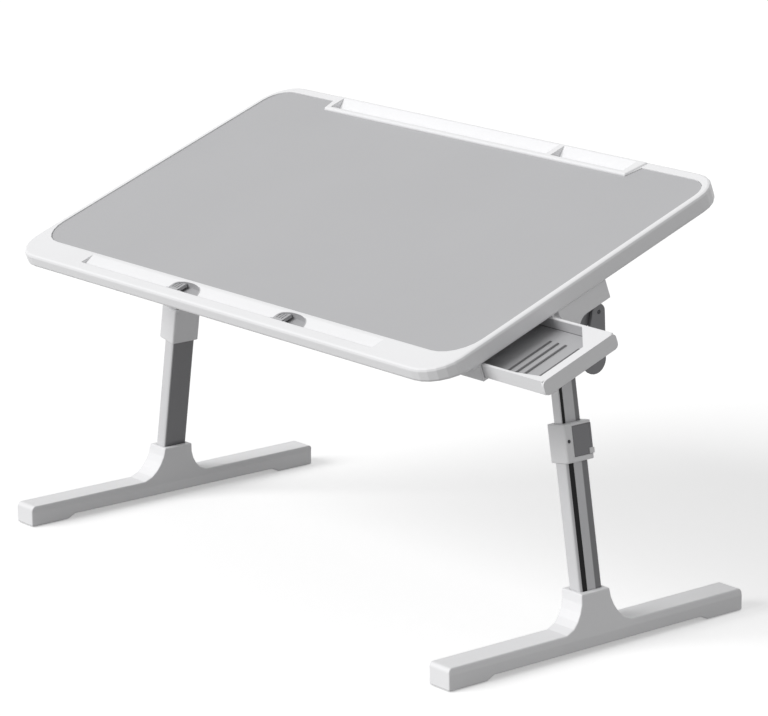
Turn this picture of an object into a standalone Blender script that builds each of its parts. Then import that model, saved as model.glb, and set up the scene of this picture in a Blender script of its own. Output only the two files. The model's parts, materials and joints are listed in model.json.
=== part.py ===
"""Folding laptop bed table: a tilting top on two height-adjustable folding legs, with a side drawer."""

import math

import bmesh
import bpy
from mathutils import Matrix, Vector

# Units and small fits
MM = 0.001
GAP = 0.3 * MM
OVERRUN = 2 * MM
WELD = 0.001 * MM

# Tabletop
TOP_WIDTH = 600 * MM
TOP_DEPTH = 335 * MM
TOP_THICKNESS = 16 * MM
FRONT_THICKNESS = 12 * MM
FRONT_TAPER = 46 * MM
CORNER_RADIUS = 31 * MM
EDGE_ROUND = 2.4 * MM
TOP_TILT = math.radians(20.15)
RIM_WIDTH = 6 * MM
FRONT_BAND = 28 * MM
BACK_RIM = 10 * MM
MAT_FRONT_RADIUS = 30 * MM
MAT_BACK_RADIUS = 22 * MM
MAT_RECESS = 0.8 * MM
MAT_THICKNESS = 1.5 * MM
LIP_OVERHANG = 1.5 * MM
BOARD_THICKNESS = 9 * MM
COVER_RECESS = 0.4 * MM

# Back bar with its two slots; insets run in from the left, right and back edges of the top
BAR_LEFT = 92 * MM
BAR_RIGHT_INSET = 97 * MM
BAR_END_SLANT = 5 * MM
BAR_FRONT_INSET = 26 * MM
BAR_RISE = 1.6 * MM
BAR_ROUND = 1.4 * MM
SLOT_FRONT_INSET = 22 * MM
SLOT_FLOOR_WIDTH = 4 * MM
SLOT_BACK_INSET = 5 * MM
SLOT_DEPTH = 8 * MM
SLOT_END_WALL = 6 * MM
SLOT_MIDDLE_WALL = 7 * MM
PHONE_SLOT_LENGTH = 92 * MM

# Front trough and its flip-up stops
TROUGH_LEFT = 97 * MM
TROUGH_RIGHT_INSET = 92 * MM
TROUGH_FRONT = 11 * MM
TROUGH_BACK = 24.5 * MM
TROUGH_DEPTH = 4 * MM
STOP_PLACE_SHARES = (0.3733, 0.62)
STOP_POCKET_WIDTH = 40 * MM
STOP_POCKET_BACK = 25.3 * MM
STOP_POCKET_DEPTH = 6.5 * MM
STOP_TAB_WIDTH = 14 * MM
STOP_TAB_THICKNESS = 3 * MM
STOP_PIN_RADIUS = 0.8 * MM
STOP_RIB_DEPTH = 0.5 * MM
STOP_RIBS = 3
POCKET_BULGE_SHARE = 0.6

# Drawer under the right side, shown pulled out
DRAWER_FRONT = 48 * MM
DRAWER_WIDTH = 79 * MM
DRAWER_LENGTH = 108 * MM
DRAWER_OPEN = 71 * MM
DRAWER_HEIGHT = 12.5 * MM
DRAWER_WALL = 2.2 * MM
DRAWER_FLOOR = 1.8 * MM
DRAWER_RIM = 6 * MM
DRAWER_END_RIM = 9.5 * MM
DRAWER_CLEARANCE = 1.3 * MM
DRAWER_CORNER_FILL = 26 * MM
PANEL_THICKNESS = 3 * MM
PANEL_DROP = 0.8 * MM
PANEL_OVERLAP = 1 * MM
PANEL_RADIUS = 4 * MM
RIB_OFFSETS = (26 * MM, 42 * MM, 51 * MM, 60 * MM)
RIB_WIDTH = 1.8 * MM
RIB_HEIGHT = 1 * MM
RIB_MARGIN = 12 * MM
RAIL_WALL = 2 * MM
RAIL_LIP = 4 * MM
RAIL_BAR = 5.4 * MM
RAIL_BAR_DEPTH = 8 * MM
RAIL_SCREW_INSET = 12 * MM
RAIL_FLANGE = 9 * MM

# Side brackets
DRAWER_TO_BRACKET = 7 * MM
FOLD_INSET = 48 * MM
FOLD_DROP = 32 * MM
TILT_DROP = 20 * MM
BRACKET_FRONT = 25 * MM
BRACKET_BACK = 30 * MM
BRACKET_WALL = 3 * MM
BRACKET_SIDE_SETBACK = 2.6 * MM
BRACKET_DEPTH = 28.5 * MM
BRACKET_INNER_REACH = 25 * MM
BRACKET_BOSS_RADIUS = 11 * MM
BRACKET_NOSE = 8 * MM
BRACKET_ROUND = 1 * MM
BRACKET_SCREW_INSET = 6 * MM
ARCH_FRONT = 9.5 * MM
ARCH_RISE = 11.5 * MM
SCREW_RADIUS = 1.5 * MM
SCREW_HEAD_RADIUS = 3.2 * MM
SCREW_HEAD_HEIGHT = 1.6 * MM
SCREW_LENGTH = 10 * MM
SCREW_SPREAD = 17 * MM

# Fold block, its pins and the tilt lock
FOLD_PIN_RADIUS = 2.5 * MM
HUB_RADIUS = 8 * MM
HUB_CLEARANCE = 0.5 * MM
BLOCK_TOP = 4 * MM
CHEEK_RADIUS = 11 * MM
CHEEK_THICKNESS = 5 * MM
TONGUE_STACK = 11 * MM
TONGUE_RADIUS = 10.5 * MM
TILT_PIN_RADIUS = 2.5 * MM
SECTOR_THICKNESS = 3 * MM
SECTOR_RADIUS = 14 * MM
SECTOR_TAIL_HALF = 4 * MM
SECTOR_TAIL_LENGTH = 17 * MM
TOOTH_DEPTH = 1.2 * MM
TOOTH_COUNT = 10
TOOTH_START = -36
TOOTH_END = 24
ARM_START = 10 * MM
LEVER_INSET = 11 * MM
ARM_TOP = 3 * MM
ARM_SLAB = 6 * MM
ARM_PLATE = 4 * MM
ARM_FRONT = 10 * MM
ARM_BOTTOM = 15 * MM
LEVER_PIN_BACK = 17.5 * MM
LEVER_PIN_DROP = 9.5 * MM
LEVER_PIN_RADIUS = 1.6 * MM
LEVER_SLEEVE_RADIUS = 3.6 * MM
LEVER_MARGIN = 5 * MM
LEVER_PLATE = 3.2 * MM
LEVER_HUB_RADIUS = 7 * MM
LEVER_ROUND = 0.6 * MM
PADDLE_RADIUS = 12 * MM
PADDLE_FORWARD = 17 * MM
PADDLE_DROP = 36.5 * MM
LEVER_LEAN = -115
PAWL_WIDTH = 3.6 * MM
PAWL_ANGLE = math.radians(-24)
PAWL_HUB_RADIUS = 3 * MM
PAWL_BACK = 5 * MM
PAWL_UNDERCUT = 1.5 * MM
PAWL_SHOULDER = 4 * MM
BLOCK_SCREW_FORWARD = 3 * MM
BLOCK_SCREW_LENGTH = 7 * MM
BLOCK_SCREW_PROUD = 1 * MM
BLOCK_SCREW_RADIUS = 2 * MM

# Legs: lengths run down the leg from the tilt axis
LEG_SPLAY = math.radians(9.73)
HEAD_LENGTH = 28 * MM
HEAD_WALL = 2 * MM
HEAD_SHOULDER = 13.5 * MM
HEAD_SEAT = 18.2 * MM
HEAD_CORNER = 4 * MM
UPPER_TUBE_SHOWN = 52.5 * MM
UPPER_TUBE_END = 176 * MM
COLLAR_LENGTH = 32.5 * MM
LOWER_TUBE_SHOWN = 107 * MM
LOWER_TUBE_THICKNESS = 14.2 * MM
LOWER_TUBE_WIDTH = 25.6 * MM
TUBE_WALL = 1.4 * MM
TUBE_SLIDE_GAP = 0.35 * MM
TUBE_CORNER = 3.2 * MM
LOWER_GROOVE_WIDTH = 5.4 * MM
UPPER_GROOVE_WIDTH = 3 * MM
GROOVE_DEPTH = 0.5 * MM
PLUG_LENGTH = 9 * MM
PLUG_FLANGE = 1.5 * MM
COLLAR_INNER_WALL = 2 * MM
COLLAR_OUTER_WALL = 5.2 * MM
COLLAR_SIDE_WALL = 1.6 * MM
COLLAR_CORNER = 2 * MM
COLLAR_LIP = 3 * MM
COLLAR_ROUND = 0.8 * MM

# Clamp lever on the collar
CLAMP_RECESS = 2.6 * MM
CLAMP_SETBACK = 8 * MM
CLAMP_TOP = 2.2 * MM
CLAMP_LENGTH = 26 * MM
CLAMP_BARREL_RADIUS = 2.2 * MM
CLAMP_BARREL_INSET = 1.9 * MM
CLAMP_PIN_RADIUS = 0.9 * MM
CLAMP_PIN_SEAT = 1.4 * MM
CLAMP_SCREW_RADIUS = 1.3 * MM
CLAMP_SCREW_LENGTH = 3.8 * MM
CLAMP_SCREW_PROUD = 0.4 * MM
CLAMP_SCREW_SETBACK = 3.7 * MM
CLAMP_SCREW_DROP = 14.3 * MM

# Feet
FOOT_LENGTH = 326 * MM
FOOT_WIDTH = 25 * MM
FOOT_HEIGHT = 20.1 * MM
FOOT_END_RADIUS = 4 * MM
FOOT_SOLE_RADIUS = 1.5 * MM
FOOT_STEM_HEIGHT = 50 * MM
STEM_OUTLINE = (
    (36 * MM, FOOT_HEIGHT),
    (28 * MM, 23.6 * MM),
    (23 * MM, 28.6 * MM),
    (19 * MM, 35 * MM),
    (16.4 * MM, 42 * MM),
    (15.4 * MM, FOOT_STEM_HEIGHT),
)
FOOT_ARCH = 4.5 * MM
FOOT_ARCH_SLOPE = 8 * MM
FOOT_EDGE_ROUND = 1 * MM
FOOT_LEAN_HEIGHT = 14 * MM
SOCKET_DEPTH = 18 * MM
PAD_LAND = 40 * MM
PAD_INSET = 3 * MM
PAD_THICKNESS = 2.6 * MM
PAD_PROUD = 0.8 * MM

# Smoothness of round shapes
PIN_SIDES = 16
ROUND_SIDES = 28
CORNER_STEPS = 6
SOLE_STEPS = 3
SMOOTH_ANGLE = math.radians(35)

# Sizes that follow from the ones above
LEAN = math.tan(LEG_SPLAY)
BAR_RIGHT = TOP_WIDTH - BAR_RIGHT_INSET
BAR_FRONT = TOP_DEPTH - BAR_FRONT_INSET
SLOT_FRONT = TOP_DEPTH - SLOT_FRONT_INSET
SLOT_BACK = TOP_DEPTH - SLOT_BACK_INSET
PHONE_SLOT_RIGHT = BAR_RIGHT - SLOT_END_WALL
PHONE_SLOT_LEFT = PHONE_SLOT_RIGHT - PHONE_SLOT_LENGTH
TABLET_SLOT_LEFT = BAR_LEFT + SLOT_END_WALL
TABLET_SLOT_RIGHT = PHONE_SLOT_LEFT - SLOT_MIDDLE_WALL
TROUGH_RIGHT = TOP_WIDTH - TROUGH_RIGHT_INSET
STOP_LEFTS = tuple(share * TOP_WIDTH for share in STOP_PLACE_SHARES)
LEG_LINE = DRAWER_FRONT + DRAWER_WIDTH + DRAWER_TO_BRACKET + BRACKET_FRONT
ARM_REACH = FOLD_INSET - LEVER_INSET
FOLD_X = TOP_WIDTH / 2 - FOLD_INSET
TILT_SHIFT = TILT_DROP * LEAN
TILT_X = FOLD_X + TILT_SHIFT
COLLAR_TOP = HEAD_LENGTH + UPPER_TUBE_SHOWN
COLLAR_BOTTOM = COLLAR_TOP + COLLAR_LENGTH
LEG_LENGTH = COLLAR_BOTTOM + LOWER_TUBE_SHOWN
TILT_HEIGHT = LEG_LENGTH * math.cos(LEG_SPLAY) + FOOT_STEM_HEIGHT
UPPER_TUBE_THICKNESS = LOWER_TUBE_THICKNESS - 2 * (TUBE_WALL + TUBE_SLIDE_GAP)
UPPER_TUBE_WIDTH = LOWER_TUBE_WIDTH - 2 * (TUBE_WALL + TUBE_SLIDE_GAP)
FOOT_X = TILT_X + (TILT_HEIGHT - FOOT_LEAN_HEIGHT) * LEAN
UNDERSIDE = -TOP_THICKNESS - GAP
MAT_BOTTOM = MAT_RECESS + MAT_THICKNESS
BOARD_TOP = MAT_BOTTOM + GAP
COVER_TOP = BOARD_TOP + BOARD_THICKNESS + GAP
DRAWER_TOP = TOP_THICKNESS + DRAWER_CLEARANCE
CHEEK_INNER = TONGUE_STACK / 2 + GAP
CHEEK_OUTER = CHEEK_INNER + CHEEK_THICKNESS
SECTOR_INNER = TONGUE_STACK / 2 - SECTOR_THICKNESS
LEVER_INNER = ARM_REACH + 2 * GAP
LEVER_OUTER = LEVER_INNER + LEVER_PLATE
PAWL_INNER = TILT_SHIFT + SECTOR_INNER + (SECTOR_THICKNESS - PAWL_WIDTH) / 2
COLLAR_OUTER = LOWER_TUBE_THICKNESS / 2 + GAP + COLLAR_OUTER_WALL
COLLAR_INNER = LOWER_TUBE_THICKNESS / 2 + GAP + COLLAR_INNER_WALL
COLLAR_HALF = LOWER_TUBE_WIDTH / 2 + GAP + COLLAR_SIDE_WALL
CLAMP_PIN_X = COLLAR_OUTER - CLAMP_BARREL_INSET
CLAMP_PIN_Y = COLLAR_HALF - CLAMP_BARREL_INSET
STOP_PIN_Y = TROUGH_FRONT + STOP_TAB_THICKNESS
STOP_PIN_DROP = STOP_TAB_THICKNESS


def clear_scene():
    for obj in list(bpy.data.objects):
        bpy.data.objects.remove(obj, do_unlink=True)


def new_collection(name):
    collection = bpy.data.collections.new(name)
    bpy.context.scene.collection.children.link(collection)
    return collection


def finish_material(name, color, roughness, metallic):
    material = bpy.data.materials.new(name)
    material.use_nodes = True
    shader = material.node_tree.nodes["Principled BSDF"]
    shader.inputs["Base Color"].default_value = (*color, 1.0)
    shader.inputs["Roughness"].default_value = roughness
    shader.inputs["Metallic"].default_value = metallic
    return material


clear_scene()
PARTS = new_collection("laptop_bed_table")
CUTTERS = new_collection("cutters")
WHITE = finish_material("white_plastic", (0.83, 0.83, 0.84), 0.42, 0.0)
MAT_GREY = finish_material("grey_leather", (0.48, 0.48, 0.5), 0.6, 0.0)
WOOD = finish_material("core_board", (0.55, 0.42, 0.29), 0.75, 0.0)
LEVER_GREY = finish_material("dark_grey_plastic", (0.13, 0.13, 0.14), 0.5, 0.0)
STEEL = finish_material("steel", (0.55, 0.55, 0.57), 0.3, 1.0)
ALUMINIUM = finish_material("aluminium", (0.5, 0.5, 0.52), 0.35, 1.0)
RUBBER = finish_material("grey_rubber", (0.35, 0.35, 0.36), 0.8, 0.0)


def frame_at(name, parent, location, rotation=(0, 0, 0)):
    """An empty that carries the pieces of one moving group."""
    empty = bpy.data.objects.new(name, None)
    empty.empty_display_size = FOOT_WIDTH
    PARTS.objects.link(empty)
    empty.parent = parent
    empty.location = location
    empty.rotation_euler = rotation
    return empty


def add_object(name, shape, parent, material):
    mesh = bpy.data.meshes.new(name)
    shape.to_mesh(mesh)
    shape.free()
    mesh.shade_smooth()
    mesh.set_sharp_from_angle(angle=SMOOTH_ANGLE)
    obj = bpy.data.objects.new(name, mesh)
    obj.parent = parent
    if material is None:
        CUTTERS.objects.link(obj)
        obj.hide_render = True
        obj.display_type = "WIRE"
    else:
        PARTS.objects.link(obj)
        mesh.materials.append(material)
    return obj


def add_boolean(obj, other, operation):
    modifier = obj.modifiers.new(operation.lower(), "BOOLEAN")
    modifier.operation = operation
    modifier.solver = "EXACT"
    modifier.object = other


def cut(obj, *shapes):
    """Cuts each shape, or each cutter object, from the piece."""
    for shape in shapes:
        if not isinstance(shape, bpy.types.Object):
            shape = add_object(obj.name + "_cutter", shape, obj.parent, None)
        add_boolean(obj, shape, "DIFFERENCE")
    return obj


def join(obj, *shapes):
    for shape in shapes:
        other = add_object(obj.name + "_joined", shape, obj.parent, None)
        add_boolean(obj, other, "UNION")
    return obj


def soften(obj, width, segments=2):
    modifier = obj.modifiers.new("rounded edges", "BEVEL")
    modifier.width = width
    modifier.segments = segments
    modifier.limit_method = "ANGLE"
    modifier.angle_limit = SMOOTH_ANGLE
    modifier.use_clamp_overlap = True
    return obj


def box(low, high):
    """A box between two corners, in any order."""
    shape = bmesh.new()
    bmesh.ops.create_cube(shape, size=1)
    low, high = Vector(low), Vector(high)
    size = [abs(b - a) for a, b in zip(low, high)]
    bmesh.ops.scale(shape, vec=size, verts=shape.verts)
    bmesh.ops.translate(shape, vec=(low + high) / 2, verts=shape.verts)
    return shape


def rod(start, end, radius, end_radius=None, sides=PIN_SIDES):
    start, end = Vector(start), Vector(end)
    shape = bmesh.new()
    along = end - start
    bmesh.ops.create_cone(
        shape,
        cap_ends=True,
        segments=sides,
        radius1=radius,
        radius2=radius if end_radius is None else end_radius,
        depth=along.length,
    )
    turn = along.to_track_quat("Z", "Y").to_matrix().to_4x4()
    shape.transform(Matrix.Translation((start + end) / 2) @ turn)
    return shape


def outline_solid(points, low, high):
    """A flat outline in X and Y, made solid from low to high along Z."""
    curve = bpy.data.curves.new("outline", "CURVE")
    curve.dimensions = "2D"
    curve.fill_mode = "BOTH"
    curve.extrude = abs(high - low) / 2
    spline = curve.splines.new("POLY")
    spline.points.add(len(points) - 1)
    for place, (across, along) in zip(spline.points, points):
        place.co = (across, along, 0, 1)
    spline.use_cyclic_u = True
    holder = bpy.data.objects.new("outline", curve)
    bpy.context.scene.collection.objects.link(holder)
    graph = bpy.context.evaluated_depsgraph_get()
    mesh = bpy.data.meshes.new_from_object(holder.evaluated_get(graph))
    shape = bmesh.new()
    shape.from_mesh(mesh)
    bpy.data.objects.remove(holder)
    bpy.data.curves.remove(curve)
    bpy.data.meshes.remove(mesh)
    bmesh.ops.remove_doubles(shape, verts=shape.verts, dist=WELD)
    bmesh.ops.dissolve_limit(
        shape, angle_limit=math.radians(0.5), verts=shape.verts, edges=shape.edges
    )
    bmesh.ops.recalc_face_normals(shape, faces=shape.faces)
    bmesh.ops.translate(shape, vec=(0, 0, (low + high) / 2), verts=shape.verts)
    return shape


def side_solid(points, low, high):
    """An outline in Y and Z, made solid from low to high along X."""
    shape = outline_solid(points, low, high)
    turn = Matrix(((0, 0, 1, 0), (1, 0, 0, 0), (0, 1, 0, 0), (0, 0, 0, 1)))
    shape.transform(turn)
    return shape


def cross_solid(points, low, high):
    """An outline in X and Z, made solid from low to high along Y."""
    shape = outline_solid(points, -high, -low)
    shape.transform(Matrix.Rotation(math.pi / 2, 4, "X"))
    return shape


def arc(centre, radius, start, end, steps=CORNER_STEPS):
    """Points round a centre, from one angle in degrees to another."""
    points = []
    for step in range(steps + 1):
        angle = math.radians(start + (end - start) * step / steps)
        points.append((centre[0] + radius * math.cos(angle), centre[1] + radius * math.sin(angle)))
    return points


def rounded_rectangle(low, high, radius, steps=CORNER_STEPS):
    (x0, y0), (x1, y1) = low, high
    points = arc((x1 - radius, y0 + radius), radius, -90, 0, steps)
    points += arc((x1 - radius, y1 - radius), radius, 0, 90, steps)
    points += arc((x0 + radius, y1 - radius), radius, 90, 180, steps)
    points += arc((x0 + radius, y0 + radius), radius, 180, 270, steps)
    return points


def from_left(distance):
    """A place across the top, measured from its left edge."""
    return distance - TOP_WIDTH / 2


# Frames of the moving groups

def build_frames():
    frames = {"table": frame_at("table", None, (0, 0, 0))}
    reach = LEG_LINE
    drop = FOLD_DROP + TILT_DROP
    top_y = -(reach * math.cos(TOP_TILT) + drop * math.sin(TOP_TILT))
    top_z = TILT_HEIGHT - reach * math.sin(TOP_TILT) + drop * math.cos(TOP_TILT)
    frames["top"] = frame_at("tabletop", frames["table"], (0, top_y, top_z), (TOP_TILT, 0, 0))
    for name, side in (("left", -1), ("right", 1)):
        fold = frame_at("fold_" + name, frames["top"], (side * FOLD_X, LEG_LINE, -FOLD_DROP))
        frames["fold_" + name] = fold
        frames["lever_" + name] = frame_at(
            "lever_" + name, fold, (0, LEVER_PIN_BACK, -LEVER_PIN_DROP)
        )
        leg = frame_at(
            "leg_" + name,
            frames["table"],
            (side * TILT_X, 0, TILT_HEIGHT),
            (0, -side * LEG_SPLAY, 0),
        )
        frames["leg_" + name] = leg
        frames["joint_" + name] = frame_at(
            "joint_" + name, frames["table"], (side * TILT_X, 0, TILT_HEIGHT)
        )
        frames["clamp_" + name] = frame_at(
            "clamp_" + name,
            leg,
            (side * CLAMP_PIN_X, CLAMP_PIN_Y, -COLLAR_TOP),
        )
        frames["stand_" + name] = frame_at(
            "stand_" + name, frames["table"], (side * FOOT_X, 0, 0)
        )
    for name, left in zip(("left", "right"), STOP_LEFTS):
        frames["stop_" + name] = frame_at(
            "stop_" + name, frames["top"], (from_left(left), STOP_PIN_Y, -STOP_PIN_DROP)
        )
    frames["drawer"] = frame_at(
        "drawer",
        frames["top"],
        (TOP_WIDTH / 2 + DRAWER_OPEN, DRAWER_FRONT, -DRAWER_TOP),
    )
    return frames


# Tabletop pieces

def opening_outline(grow):
    """The opening that the mat fills, with the back bar's place left out; grow widens it all round."""
    side = TOP_WIDTH / 2 - RIM_WIDTH + grow
    front = FRONT_BAND - grow
    back = TOP_DEPTH - BACK_RIM + grow
    front_radius = MAT_FRONT_RADIUS + grow
    back_radius = MAT_BACK_RADIUS + grow
    left = from_left(BAR_LEFT) + grow
    right = from_left(BAR_RIGHT) - grow
    bar_front = BAR_FRONT + grow
    points = arc((side - front_radius, front + front_radius), front_radius, -90, 0)
    points += arc((side - back_radius, back - back_radius), back_radius, 0, 90)
    points += [(right + BAR_END_SLANT, back), (right, bar_front)]
    points += [(left, bar_front), (left - BAR_END_SLANT, back)]
    points += arc((-side + back_radius, back - back_radius), back_radius, 90, 180)
    points += arc((-side + front_radius, front + front_radius), front_radius, 180, 270)
    return points


def slot_shape(left, right):
    """A slot across the back bar: steep front wall, narrow floor and a long slope behind."""
    top = BAR_RISE + OVERRUN
    lean = (SLOT_BACK - SLOT_FRONT - SLOT_FLOOR_WIDTH) / (SLOT_DEPTH + BAR_RISE)
    section = [
        (SLOT_FRONT, top),
        (SLOT_FRONT, -SLOT_DEPTH),
        (SLOT_FRONT + SLOT_FLOOR_WIDTH, -SLOT_DEPTH),
        (SLOT_BACK + OVERRUN * lean, top),
    ]
    return side_solid(section, from_left(left), from_left(right))


def stop_outline(inset):
    """The pocket's outline from its left front corner: a straight front edge and a rounded back."""
    half = STOP_POCKET_WIDTH / 2 - inset
    reach = STOP_POCKET_BACK - TROUGH_FRONT - inset
    points = [(inset, 0)]
    for step in range(1, 4 * CORNER_STEPS):
        angle = math.pi * (1 - step / (4 * CORNER_STEPS))
        swell_share = math.sin(angle) ** POCKET_BULGE_SHARE
        points.append((half + inset + half * math.cos(angle), reach * swell_share))
    points.append((STOP_POCKET_WIDTH - inset, 0))
    return points


def stop_pocket_shape(left):
    points = [(from_left(left) + x, TROUGH_FRONT + y) for x, y in stop_outline(0)]
    return outline_solid(points, -STOP_POCKET_DEPTH, OVERRUN)


def build_frame(frames):
    top = frames["top"]
    half = TOP_WIDTH / 2
    outline = rounded_rectangle((-half, 0), (half, TOP_DEPTH), CORNER_RADIUS)
    frame = add_object("top_frame", outline_solid(outline, -TOP_THICKNESS, 0), top, WHITE)
    taper = [
        (-OVERRUN, -FRONT_THICKNESS),
        (0, -FRONT_THICKNESS),
        (FRONT_TAPER, -TOP_THICKNESS),
        (FRONT_TAPER, -TOP_THICKNESS - OVERRUN),
        (-OVERRUN, -TOP_THICKNESS - OVERRUN),
    ]
    cut(frame, side_solid(taper, -half - OVERRUN, half + OVERRUN))
    soften(frame, EDGE_ROUND)
    left = from_left(BAR_LEFT)
    right = from_left(BAR_RIGHT)
    bar = outline_solid(
        [
            (left, BAR_FRONT),
            (right, BAR_FRONT),
            (right + BAR_END_SLANT, TOP_DEPTH - EDGE_ROUND),
            (left - BAR_END_SLANT, TOP_DEPTH - EDGE_ROUND),
        ],
        -MAT_BOTTOM,
        BAR_RISE,
    )
    cut(frame, outline_solid(opening_outline(0), -TOP_THICKNESS - OVERRUN, OVERRUN))
    cut(frame, outline_solid(opening_outline(LIP_OVERHANG), -TOP_THICKNESS - OVERRUN, -MAT_BOTTOM))
    bar_body = add_object("back_bar_body", bar, top, None)
    soften(bar_body, BAR_ROUND)
    add_boolean(frame, bar_body, "UNION")
    cut(frame, slot_shape(TABLET_SLOT_LEFT, TABLET_SLOT_RIGHT))
    cut(frame, slot_shape(PHONE_SLOT_LEFT, PHONE_SLOT_RIGHT))
    trough = [
        (TROUGH_FRONT, OVERRUN),
        (TROUGH_FRONT, -TROUGH_DEPTH),
        (TROUGH_BACK, 0),
        (TROUGH_BACK, OVERRUN),
    ]
    cut(frame, side_solid(trough, from_left(TROUGH_LEFT), from_left(TROUGH_RIGHT)))
    for name, left in zip(("left", "right"), STOP_LEFTS):
        cut(frame, stop_pocket_shape(left))
        cut(frame, stop_pin_shape(left, STOP_PIN_RADIUS + GAP))


def stop_pin_shape(left, radius):
    start = from_left(left) - STOP_TAB_THICKNESS
    end = from_left(left) + STOP_TAB_WIDTH + STOP_TAB_THICKNESS
    return rod((start, STOP_PIN_Y, -STOP_PIN_DROP), (end, STOP_PIN_Y, -STOP_PIN_DROP), radius)


def build_stops(frames):
    shift = TROUGH_FRONT - STOP_PIN_Y
    half = STOP_TAB_THICKNESS / 2
    for name, left in zip(("left", "right"), STOP_LEFTS):
        add_object("stop_pin_" + name, stop_pin_shape(left, STOP_PIN_RADIUS), frames["top"], STEEL)
        curve = [(x, y + shift) for x, y in stop_outline(2 * GAP)]
        back = [(x, y) for x, y in curve if x < STOP_TAB_WIDTH and y > 0]
        edge = back[-1][1]
        points = [(back[0][0], 0), *back, (STOP_TAB_WIDTH, edge), (STOP_TAB_WIDTH, 0)]
        tab = add_object(
            "stop_tab_" + name, outline_solid(points, -half, half), frames["stop_" + name], WHITE
        )
        start = back[0][0]
        join(tab, rod((start, 0, 0), (STOP_TAB_WIDTH, 0, 0), half))
        bore = STOP_PIN_RADIUS + GAP
        cut(tab, rod((-OVERRUN, 0, 0), (STOP_TAB_WIDTH + OVERRUN, 0, 0), bore))
        pitch = (STOP_TAB_WIDTH - start) / (STOP_RIBS + 1)
        for rib in range(STOP_RIBS):
            middle = start + pitch * (rib + 1)
            groove = box(
                (middle - pitch / 4, half, half - STOP_RIB_DEPTH),
                (middle + pitch / 4, edge - half, half + OVERRUN),
            )
            cut(tab, groove)


def build_board_and_mat(frames):
    top = frames["top"]
    add_object(
        "desk_mat",
        outline_solid(opening_outline(-GAP), -MAT_BOTTOM, -MAT_RECESS),
        top,
        MAT_GREY,
    )
    outline = opening_outline(LIP_OVERHANG - GAP)
    board = add_object(
        "core_board",
        outline_solid(outline, -BOARD_TOP - BOARD_THICKNESS, -BOARD_TOP),
        top,
        WOOD,
    )
    cover = add_object(
        "bottom_cover",
        outline_solid(outline, -TOP_THICKNESS + COVER_RECESS, -COVER_TOP),
        top,
        WHITE,
    )
    taper = [
        (-OVERRUN, -FRONT_THICKNESS + COVER_RECESS),
        (0, -FRONT_THICKNESS + COVER_RECESS),
        (FRONT_TAPER, -TOP_THICKNESS + COVER_RECESS),
        (FRONT_TAPER, -TOP_THICKNESS - OVERRUN),
        (-OVERRUN, -TOP_THICKNESS - OVERRUN),
    ]
    cut(cover, side_solid(taper, -TOP_WIDTH / 2, TOP_WIDTH / 2))
    return board, cover


def add_screw(name, place, frames, drilled):
    """A screw that comes up from below; its hole is drilled through each listed piece."""
    x, y, face = place
    top = frames["top"]
    screw = add_object(
        name,
        rod((x, y, face - SCREW_HEAD_HEIGHT), (x, y, face), SCREW_HEAD_RADIUS * 0.8, SCREW_HEAD_RADIUS),
        top,
        STEEL,
    )
    join(screw, rod((x, y, face - GAP), (x, y, face + SCREW_LENGTH), SCREW_RADIUS))
    slot = SCREW_HEAD_RADIUS / 5
    depth = SCREW_HEAD_HEIGHT / 2
    for across, along in ((SCREW_HEAD_RADIUS / 2, slot), (slot, SCREW_HEAD_RADIUS / 2)):
        cut(
            screw,
            box(
                (x - across, y - along, face - SCREW_HEAD_HEIGHT - OVERRUN),
                (x + across, y + along, face - SCREW_HEAD_HEIGHT + depth),
            ),
        )
    hole = add_object(
        name + "_hole",
        rod((x, y, face - OVERRUN), (x, y, face + SCREW_LENGTH + GAP), SCREW_RADIUS + GAP),
        top,
        None,
    )
    for piece in drilled:
        add_boolean(piece, hole, "DIFFERENCE")


# Drawer and its rails

def build_drawer(frames, cover, board):
    drawer = frames["drawer"]
    width = DRAWER_WIDTH
    length = DRAWER_LENGTH
    tray = add_object(
        "drawer_tray",
        box((-length, 0, -DRAWER_HEIGHT), (-PANEL_THICKNESS / 2, width, 0)),
        drawer,
        WHITE,
    )
    pocket = [
        (-length + DRAWER_WALL, DRAWER_WALL),
        (-DRAWER_END_RIM - DRAWER_CORNER_FILL, DRAWER_WALL),
        (-DRAWER_END_RIM, DRAWER_RIM),
        (-DRAWER_END_RIM, width - DRAWER_CORNER_FILL),
        (-DRAWER_END_RIM - DRAWER_CORNER_FILL, width - DRAWER_WALL),
        (-length + DRAWER_WALL, width - DRAWER_WALL),
    ]
    cut(tray, outline_solid(pocket, -DRAWER_HEIGHT + DRAWER_FLOOR, OVERRUN))
    panel = rounded_rectangle(
        (-PANEL_OVERLAP, -DRAWER_HEIGHT - PANEL_DROP),
        (width + PANEL_OVERLAP, 0),
        PANEL_RADIUS,
        3,
    )
    panel_body = add_object(
        "drawer_panel_body", side_solid(panel, -PANEL_THICKNESS, 0), drawer, None
    )
    add_boolean(tray, panel_body, "UNION")
    floor = -DRAWER_HEIGHT + DRAWER_FLOOR
    for offset in RIB_OFFSETS:
        rib = box(
            (-offset - RIB_WIDTH / 2, RIB_MARGIN, floor - DRAWER_FLOOR / 2),
            (-offset + RIB_WIDTH / 2, width - RIB_MARGIN - DRAWER_RIM, floor + RIB_HEIGHT),
        )
        join(tray, rib)
    build_rail(frames, cover, board)


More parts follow.
